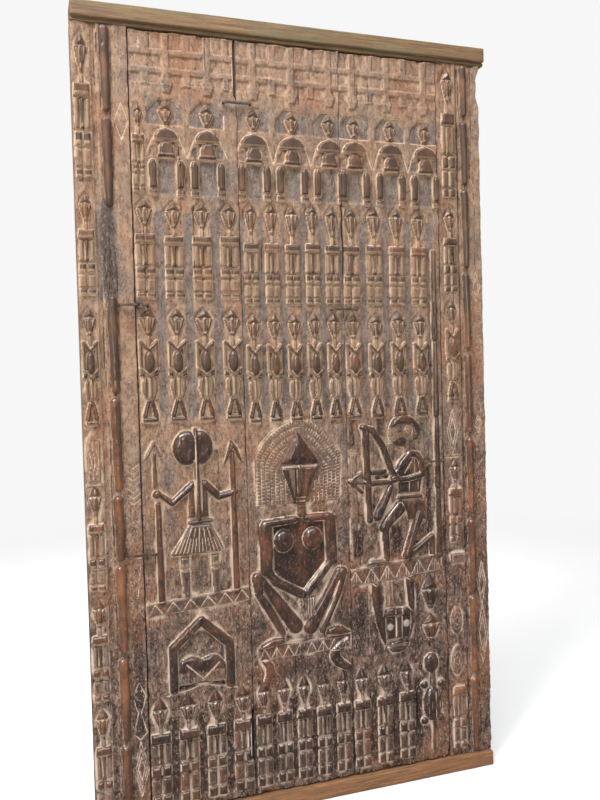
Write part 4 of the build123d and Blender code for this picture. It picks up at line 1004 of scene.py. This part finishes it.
def carved_wood(name, sooty, tar, russet):
    """Old carved hardwood: a brown ground smoked grey, pale dust along the cuts, dark burnished forms."""
    wood = Finish(name)
    grain = wood.noise((300, 300, 22), 4.0, 0.6, 0.5)
    mottle = wood.noise((110, 110, 60), 5.0, 0.7, 0.5)
    clouds = wood.noise((38, 38, 24), 4.0, 0.6, 0.6)
    patches = wood.noise((13, 13, 6), 3.0, 0.6, 0.8)
    drifts = wood.noise((9, 9, 5), 3.0, 0.6, 0.8)
    ticks = wood.noise((260, 260, 150), 3.0, 0.7)
    flecks = wood.noise((210, 210, 110), 4.0, 0.75, 0.5)
    dust, shine, painted_recess_shade, crest, smoke, soot = (wood.mark(mark) for mark in MARKS)
    level, side = (wood.node("ShaderNodeSeparateXYZ", {}, {"Vector": wood.place((1, 1, 1))}, axis)
                   for axis in "ZX")
    upper = wood.spread(level + 0.5 * (patches - 0.5) - wood.spread(side, -0.2, 0.05, 0.0, 0.2), 0.22, 1.12)
    rows = wood.spread(level, 0.92, 1.15)
    worn = 0.2 * grain + 0.4 * mottle + 0.4 * clouds
    dark, light = wood.mix(upper, PEAT, UMBER), wood.mix(upper, EARTH, LOAM)
    brown = wood.mix(wood.spread(worn, 0.38, 0.64), dark, light)
    brown = wood.mix(wood.spread(drifts, 0.48, 0.66, 0.0, 0.55), brown, RUST)
    grey = wood.mix(wood.spread(worn, 0.38, 0.66), wood.mix(upper, SOOT_AND_SHADOW, SLATE), wood.mix(upper, SLATE, ASH))
    ground = wood.mix(wood.spread(0.34 * smoke + patches, 0.66 - sooty, 0.94 - sooty, 0.0, 0.85), brown, grey)
    # Soot stains darken the ground here, and so does the painted shadow drawn with them.
    ground = wood.mix(wood.spread(soot + 0.8 * (clouds - 0.5), 0.25, 0.9, 0.0, 0.9), ground, SOOT_AND_SHADOW)
    burnished = wood.mix(wood.spread(0.7 * drifts + 0.5 * clouds + 0.1 * mottle, 0.58, 0.86),
                         wood.mix(rows, tar, BARK), wood.mix(rows, russet, CHESTNUT))
    reach = wood.spread(shine + 0.2 * (clouds - 0.5) + 0.2 * (mottle - 0.5), 0.08, 0.60, 0.0, 0.96)
    bare = (1 - reach) * (1.0 - 0.45 * upper)
    tone = wood.mix(reach, ground, burnished)
    # Painted shade: recesses and cracks go near black here; the same colour on the next line marks real
    # chisel pits.
    tone = wood.mix(wood.spread(painted_recess_shade + 0.25 * ticks, 0.35, 1.0, 0.0, 0.8), tone, PIT_AND_RECESS_SHADE)
    tone = wood.mix(wood.spread(ticks + 0.4 * mottle, 0.54, 0.68, 0.9, 0.0) * bare, tone, PIT_AND_RECESS_SHADE)
    tone = wood.mix(wood.spread(flecks, 0.53, 0.66, 0.0, 0.5) * (bare + 0.4 * reach * (1 - rows)), tone, HUSK)
    pale = wood.mix(upper, HUSK, DUST)
    dusted = wood.spread(dust + 0.5 * (ticks - 0.5) + 0.35 * (mottle - 0.5), 0.16, 0.72, 0.0, 0.95)
    tone = wood.mix(dusted, tone, pale)
    rubbed = wood.spread(crest + 0.4 * (ticks - 0.5), 0.25, 0.9, 0.0, 0.28) * (1 - reach)
    tone = wood.mix(rubbed, tone, pale)
    tone = wood.mix(wood.spread(0 - shine, 0.2, 0.6, 0.0, 0.8), tone, BONE)
    gloss = reach * (1 - dusted) * (1 - 0.5 * rows)
    relief = 0.25 * grain + 0.4 * mottle + 0.35 * ticks + 0.25 * flecks
    return wood.finish(wood.surface(
        Base_Color=tone, Roughness=wood.spread(gloss, 0.0, 0.9, 0.85, 0.45), Specular_IOR_Level=0.2,
        Coat_Weight=wood.spread(gloss, 0.1, 0.9, 0.0, 1.0), Coat_Roughness=0.16,
        Normal=wood.bump(relief, 0.6, 0.002)))


def plain_wood(name, across, pale, ripe=HONEY):
    """Bare weathered timber, greyer for a higher pale; its grain runs along X when across, else upwards."""
    wood = Finish(name)
    long = (9, 260, 260) if across else (260, 260, 9)
    broad = (3.5, 26, 26) if across else (26, 26, 3.5)
    grain = wood.noise(long, 5.0, 0.68, 0.8)
    fibre = wood.noise(tuple(3.3 * part for part in long), 3.0, 0.6)
    patches = wood.noise(broad, 4.0, 0.6, 0.7)
    mottle = wood.noise((70, 90, 90), 4.0, 0.65)
    warm = wood.mix(wood.spread(grain, 0.25, 0.75), OLD_HEART, ripe)
    grey = wood.mix(wood.spread(grain, 0.25, 0.75), LICHEN, DRIFTWOOD)
    tone = wood.mix(wood.spread(patches, 0.62 - 0.3 * pale, 0.84 - 0.3 * pale), warm, grey)
    tone = wood.mix(wood.spread(mottle, 0.50, 0.70, 0.0, 0.4), tone, WATER_STAIN)
    tone = wood.mix(wood.spread(fibre, 0.60, 0.78, 0.0, 0.5), tone, SHAKE)
    relief = 0.6 * grain + 0.2 * fibre + 0.3 * mottle
    return wood.finish(wood.surface(Base_Color=tone, Roughness=0.62 + 0.3 * patches, Specular_IOR_Level=0.35,
                                    Normal=wood.bump(relief, 0.55, 0.0016)))


def old_iron(name):
    """Hand-forged iron gone brown."""
    iron = Finish(name)
    pits = iron.noise((420, 420, 420), 4.0, 0.65)
    rust = iron.noise((60, 60, 60), 4.0, 0.6)
    tone = iron.mix(iron.spread(pits, 0.35, 0.7), FORGE_BLACK, FORGE_BROWN)
    tone = iron.mix(iron.spread(rust, 0.52, 0.72, 0.0, 0.75), tone, IRON_RUST)
    return iron.finish(iron.surface(
        Base_Color=tone, Metallic=iron.spread(rust, 0.45, 0.7, 0.75, 0.1),
        Roughness=iron.spread(pits, 0.3, 0.7, 0.42, 0.8), Normal=iron.bump(pits, 0.6, 0.0008)))


def dress(piece, material):
    piece.data.materials.clear()
    piece.data.materials.append(material)


# Timbers of the frame and the ledges behind the leaf

def timber(name, low, high, arris, cuts, wear):
    """A hewn beam: a block cut into short lengths, its edges rounded and its faces worn uneven."""
    size = [b - a for a, b in zip(low, high)]
    middle = [(a + b) / 2 * MM for a, b in zip(low, high)]
    bpy.ops.object.select_all(action="DESELECT")
    bpy.ops.mesh.primitive_cube_add(size=MM, location=middle)
    piece = bpy.context.object
    piece.name = name
    piece.scale = [side - 2 * wear for side in size]
    bpy.ops.object.transform_apply(location=True, rotation=True, scale=True)
    bpy.ops.object.mode_set(mode="EDIT")
    long = size.index(max(size))
    for cut in range(1, cuts):
        spot = [value * MM for value in low]
        spot[long] = (low[long] + size[long] * cut / cuts) * MM
        normal = [0.0, 0.0, 0.0]
        normal[long] = 1.0
        bpy.ops.mesh.select_all(action="SELECT")
        bpy.ops.mesh.bisect(plane_co=spot, plane_no=normal)
    bpy.ops.mesh.select_all(action="SELECT")
    bpy.ops.mesh.subdivide(number_cuts=3)
    bpy.ops.object.mode_set(mode="OBJECT")
    rounded = piece.modifiers.new("arris", "BEVEL")
    rounded.width, rounded.segments, rounded.limit_method = arris * MM, 3, "ANGLE"
    worn = bpy.data.textures.new(name + "_wear", "CLOUDS")
    worn.noise_scale, worn.noise_depth = 0.035, 3
    for axis in "XYZ":
        push = piece.modifiers.new("wear" + axis, "DISPLACE")
        push.texture, push.direction, push.texture_coords = worn, axis, "GLOBAL"
        push.strength, push.mid_level = 2 * wear * MM, 0.5
    for modifier in list(piece.modifiers):
        bpy.ops.object.modifier_apply(modifier=modifier.name)
    bpy.ops.object.shade_smooth_by_angle(angle=math.radians(40))
    return piece


def seat(piece, body, node, material):
    """Hangs a piece on its body, in the place of one of the solids, and gives it its finish."""
    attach(piece, body)
    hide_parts(node)
    dress(piece, material)


# Floor, sky and lamps

def pale_floor():
    """A floor that fades to the backdrop far off, and that polished wood doesn't mirror."""
    pale = Finish("pale_floor")
    tone = pale.mix(pale.noise((2, 2, 2), 2.0), FLOOR_PALE, FLOOR_LIGHT)
    plain = pale.surface(Base_Color=tone, Roughness=0.9, Specular_IOR_Level=0.1)
    here = pale.node("ShaderNodeTexCoord", {}, {}, "Object")
    away = pale.node("ShaderNodeVectorMath", {"operation": "LENGTH"}, {0: here}, "Value")
    seen = pale.node("ShaderNodeLightPath", {}, {}, "Is Camera Ray")
    mirrored = pale.node("ShaderNodeLightPath", {}, {}, "Is Glossy Ray")
    white = pale.node("ShaderNodeEmission", {}, {0: BACKDROP})
    dim = pale.node("ShaderNodeEmission", {}, {0: DUSK})
    ground = pale.node("ShaderNodeMixShader", {}, {0: mirrored, 1: plain, 2: dim})
    return pale.finish(pale.node("ShaderNodeMixShader", {}, {0: pale.spread(away, 1.2, 4.5) * seen, 1: ground,
                                                             2: white}))


def add_sky():
    """The backdrop behind the door for the camera, and a soft fill that is dimmer in what is polished."""
    world = bpy.data.worlds.new("studio")
    bpy.context.scene.world = world
    world.use_nodes = True
    sky = Nodes(world.node_tree)
    mirrored = sky.node("ShaderNodeLightPath", {}, {}, "Is Glossy Ray")
    strength = sky.node("ShaderNodeMapRange", {}, {"Value": mirrored, "To Min": 0.42, "To Max": 0.05})
    fill = sky.node("ShaderNodeBackground", {}, {0: DAYLIGHT, 1: strength})
    plain = sky.node("ShaderNodeBackground", {}, {0: BACKDROP})
    seen = sky.node("ShaderNodeLightPath", {}, {}, "Is Camera Ray")
    chosen = sky.node("ShaderNodeMixShader", {}, {0: seen, 1: fill, 2: plain})
    sky.node("ShaderNodeOutputWorld", {}, {0: chosen})


LAMPS = (
    ("key", (-2.3, -1.7, 4.2), 1.6, 300, DAYLIGHT),
    ("sky", (0.1, -1.3, 4.6), 2.6, 130, (0.90, 0.95, 1.0)),
    ("fill", (-1.6, -3.4, 1.6), 1.4, 45, (0.98, 0.99, 1.0)),
    ("rear", (0.6, 3.0, 2.8), 2.4, 70, (1.0, 1.0, 1.0)),
)
LAMP_AIM = Vector((0, 0, 0.9))


def studio():
    bpy.ops.object.select_all(action="DESELECT")
    bpy.ops.mesh.primitive_plane_add(size=40, location=(0, 0, cad_box[0][2] - 0.0005))
    floor = bpy.context.object
    floor.name = "floor"
    dress(floor, pale_floor())
    add_sky()
    for name, place, size, power, colour in LAMPS:
        lamp = bpy.data.lights.new(name, "AREA")
        lamp.shape, lamp.size, lamp.energy, lamp.color = "SQUARE", size, power, colour
        item = bpy.data.objects.new(name, lamp)
        bpy.context.scene.collection.objects.link(item)
        item.location = place
        item.rotation_euler = (LAMP_AIM - item.location).to_track_quat("-Z", "Y").to_euler()
    bpy.context.scene.view_settings.view_transform = "Standard"


# Worn edges

def left_gap(x, z):
    """The wasted right edge of the left plank, where daylight shows."""
    top = np.interp(z, [1740, 1752, 1800, 1883], [0, 6, 9, 5])
    low = np.interp(z, [126, 136, 190, 250, 258], [0, 7, 8, 5, 0])
    return -(top + low) * np.clip((x + 172) / 28, 0, 1)


def open_seam(x, z):
    """The right plank's left edge, where the seam beside it stands open."""
    return np.interp(z, [1312, 1330, 1488, 1504], [0, 4.4, 4.4, 0]) * np.clip((139 - x) / 16, 0, 1)


def worn_corner(x, z):
    """The right jamb's outer edge, wasted near its top."""
    return -np.interp(z, [1779, 1805, 1857, 1875], [0, 8, 6, 0]) * np.clip((x - 500) / 25, 0, 1)


# The door

LOW_SLIT = (301, 306, 152, 230)
leaf_boards = (
    ("leaf_board_left", plank_left_face, (-397, -144), left_gap, None, "plank_left"),
    ("leaf_board_middle", plank_middle_face, (-142.5, 121.5), None, None, "plank_middle"),
    ("leaf_board_right", plank_right_face, (123, 396), open_seam, LOW_SLIT, "plank_right"),
)
frame_boards = (
    ("frame_board_left", jamb_left_face, (-525, -400), None, None, "jamb_left"),
    ("frame_board_right", jamb_right_face, (399, 525), worn_corner, None, "jamb_right"),
)

add_camera()
CELL = 2.2
leaf_wood = carved_wood("leaf_wood", 0.0, TAR, RUSSET)
frame_wood = carved_wood("frame_wood", -0.04, EMBER, TAN_BARK)
making = (
    ("leaf", leaf_boards, (BASE, LEAF_TOP), LEAF_THICK, leaf_wood),
    ("frame", frame_boards, (SILL_TOP, JAMB_TOP), JAMB_THICK, frame_wood),
)
for body, boards, ends, thick, wood in making:
    for name, draw, sides, drift, slit, node in boards:
        board = carved_board(name, draw(), sides + ends, thick, drift, slit)
        seat(board, body, node, wood)

beam_wood, ledge_wood = plain_wood("beam_wood", True, 0.55), plain_wood("ledge_wood", True, 0.2)
sill_wood = plain_wood("sill_wood", True, -0.2, RED_HONEY)
timbers = (
    ("head_beam", (-525, -13, 1895), (539, 60, 1933), 3.0, 26, 0.9, "lintel", beam_wood),
    ("head_lip", (-525, -4, JAMB_TOP), (539, 60, 1895.6), 1.2, 26, 0.4, "lintel", beam_wood),
    ("foot_beam", (-525, -13, 0), (525, 60, 40), 3.5, 26, 1.0, "sill", sill_wood),
    ("ledge_batten_low", (-363, 34, 387.4), (362, 58, 443.4), 3.0, 20, 0.9, "ledge_lower", ledge_wood),
    ("ledge_batten_high", (-363, 34, 1594.2), (362, 58, 1650.2), 3.0, 20, 0.9, "ledge_upper", ledge_wood),
)
for name, low, high, arris, cuts, wear, node, wood in timbers:
    body = "leaf" if wood is ledge_wood else "frame"
    seat(timber(name, low, high, arris, cuts, wear), body, node, wood)

iron, peg_wood = old_iron("old_iron"), plain_wood("peg_wood", False, 0.3)
for node in ("seam_staples", "pull_staple", "hinge_jamb_eyes", "hinge_leaf_eyes", "ledge_nails"):
    dress(nodes[node], iron)
dress(nodes["frame_pegs"], peg_wood)

studio()
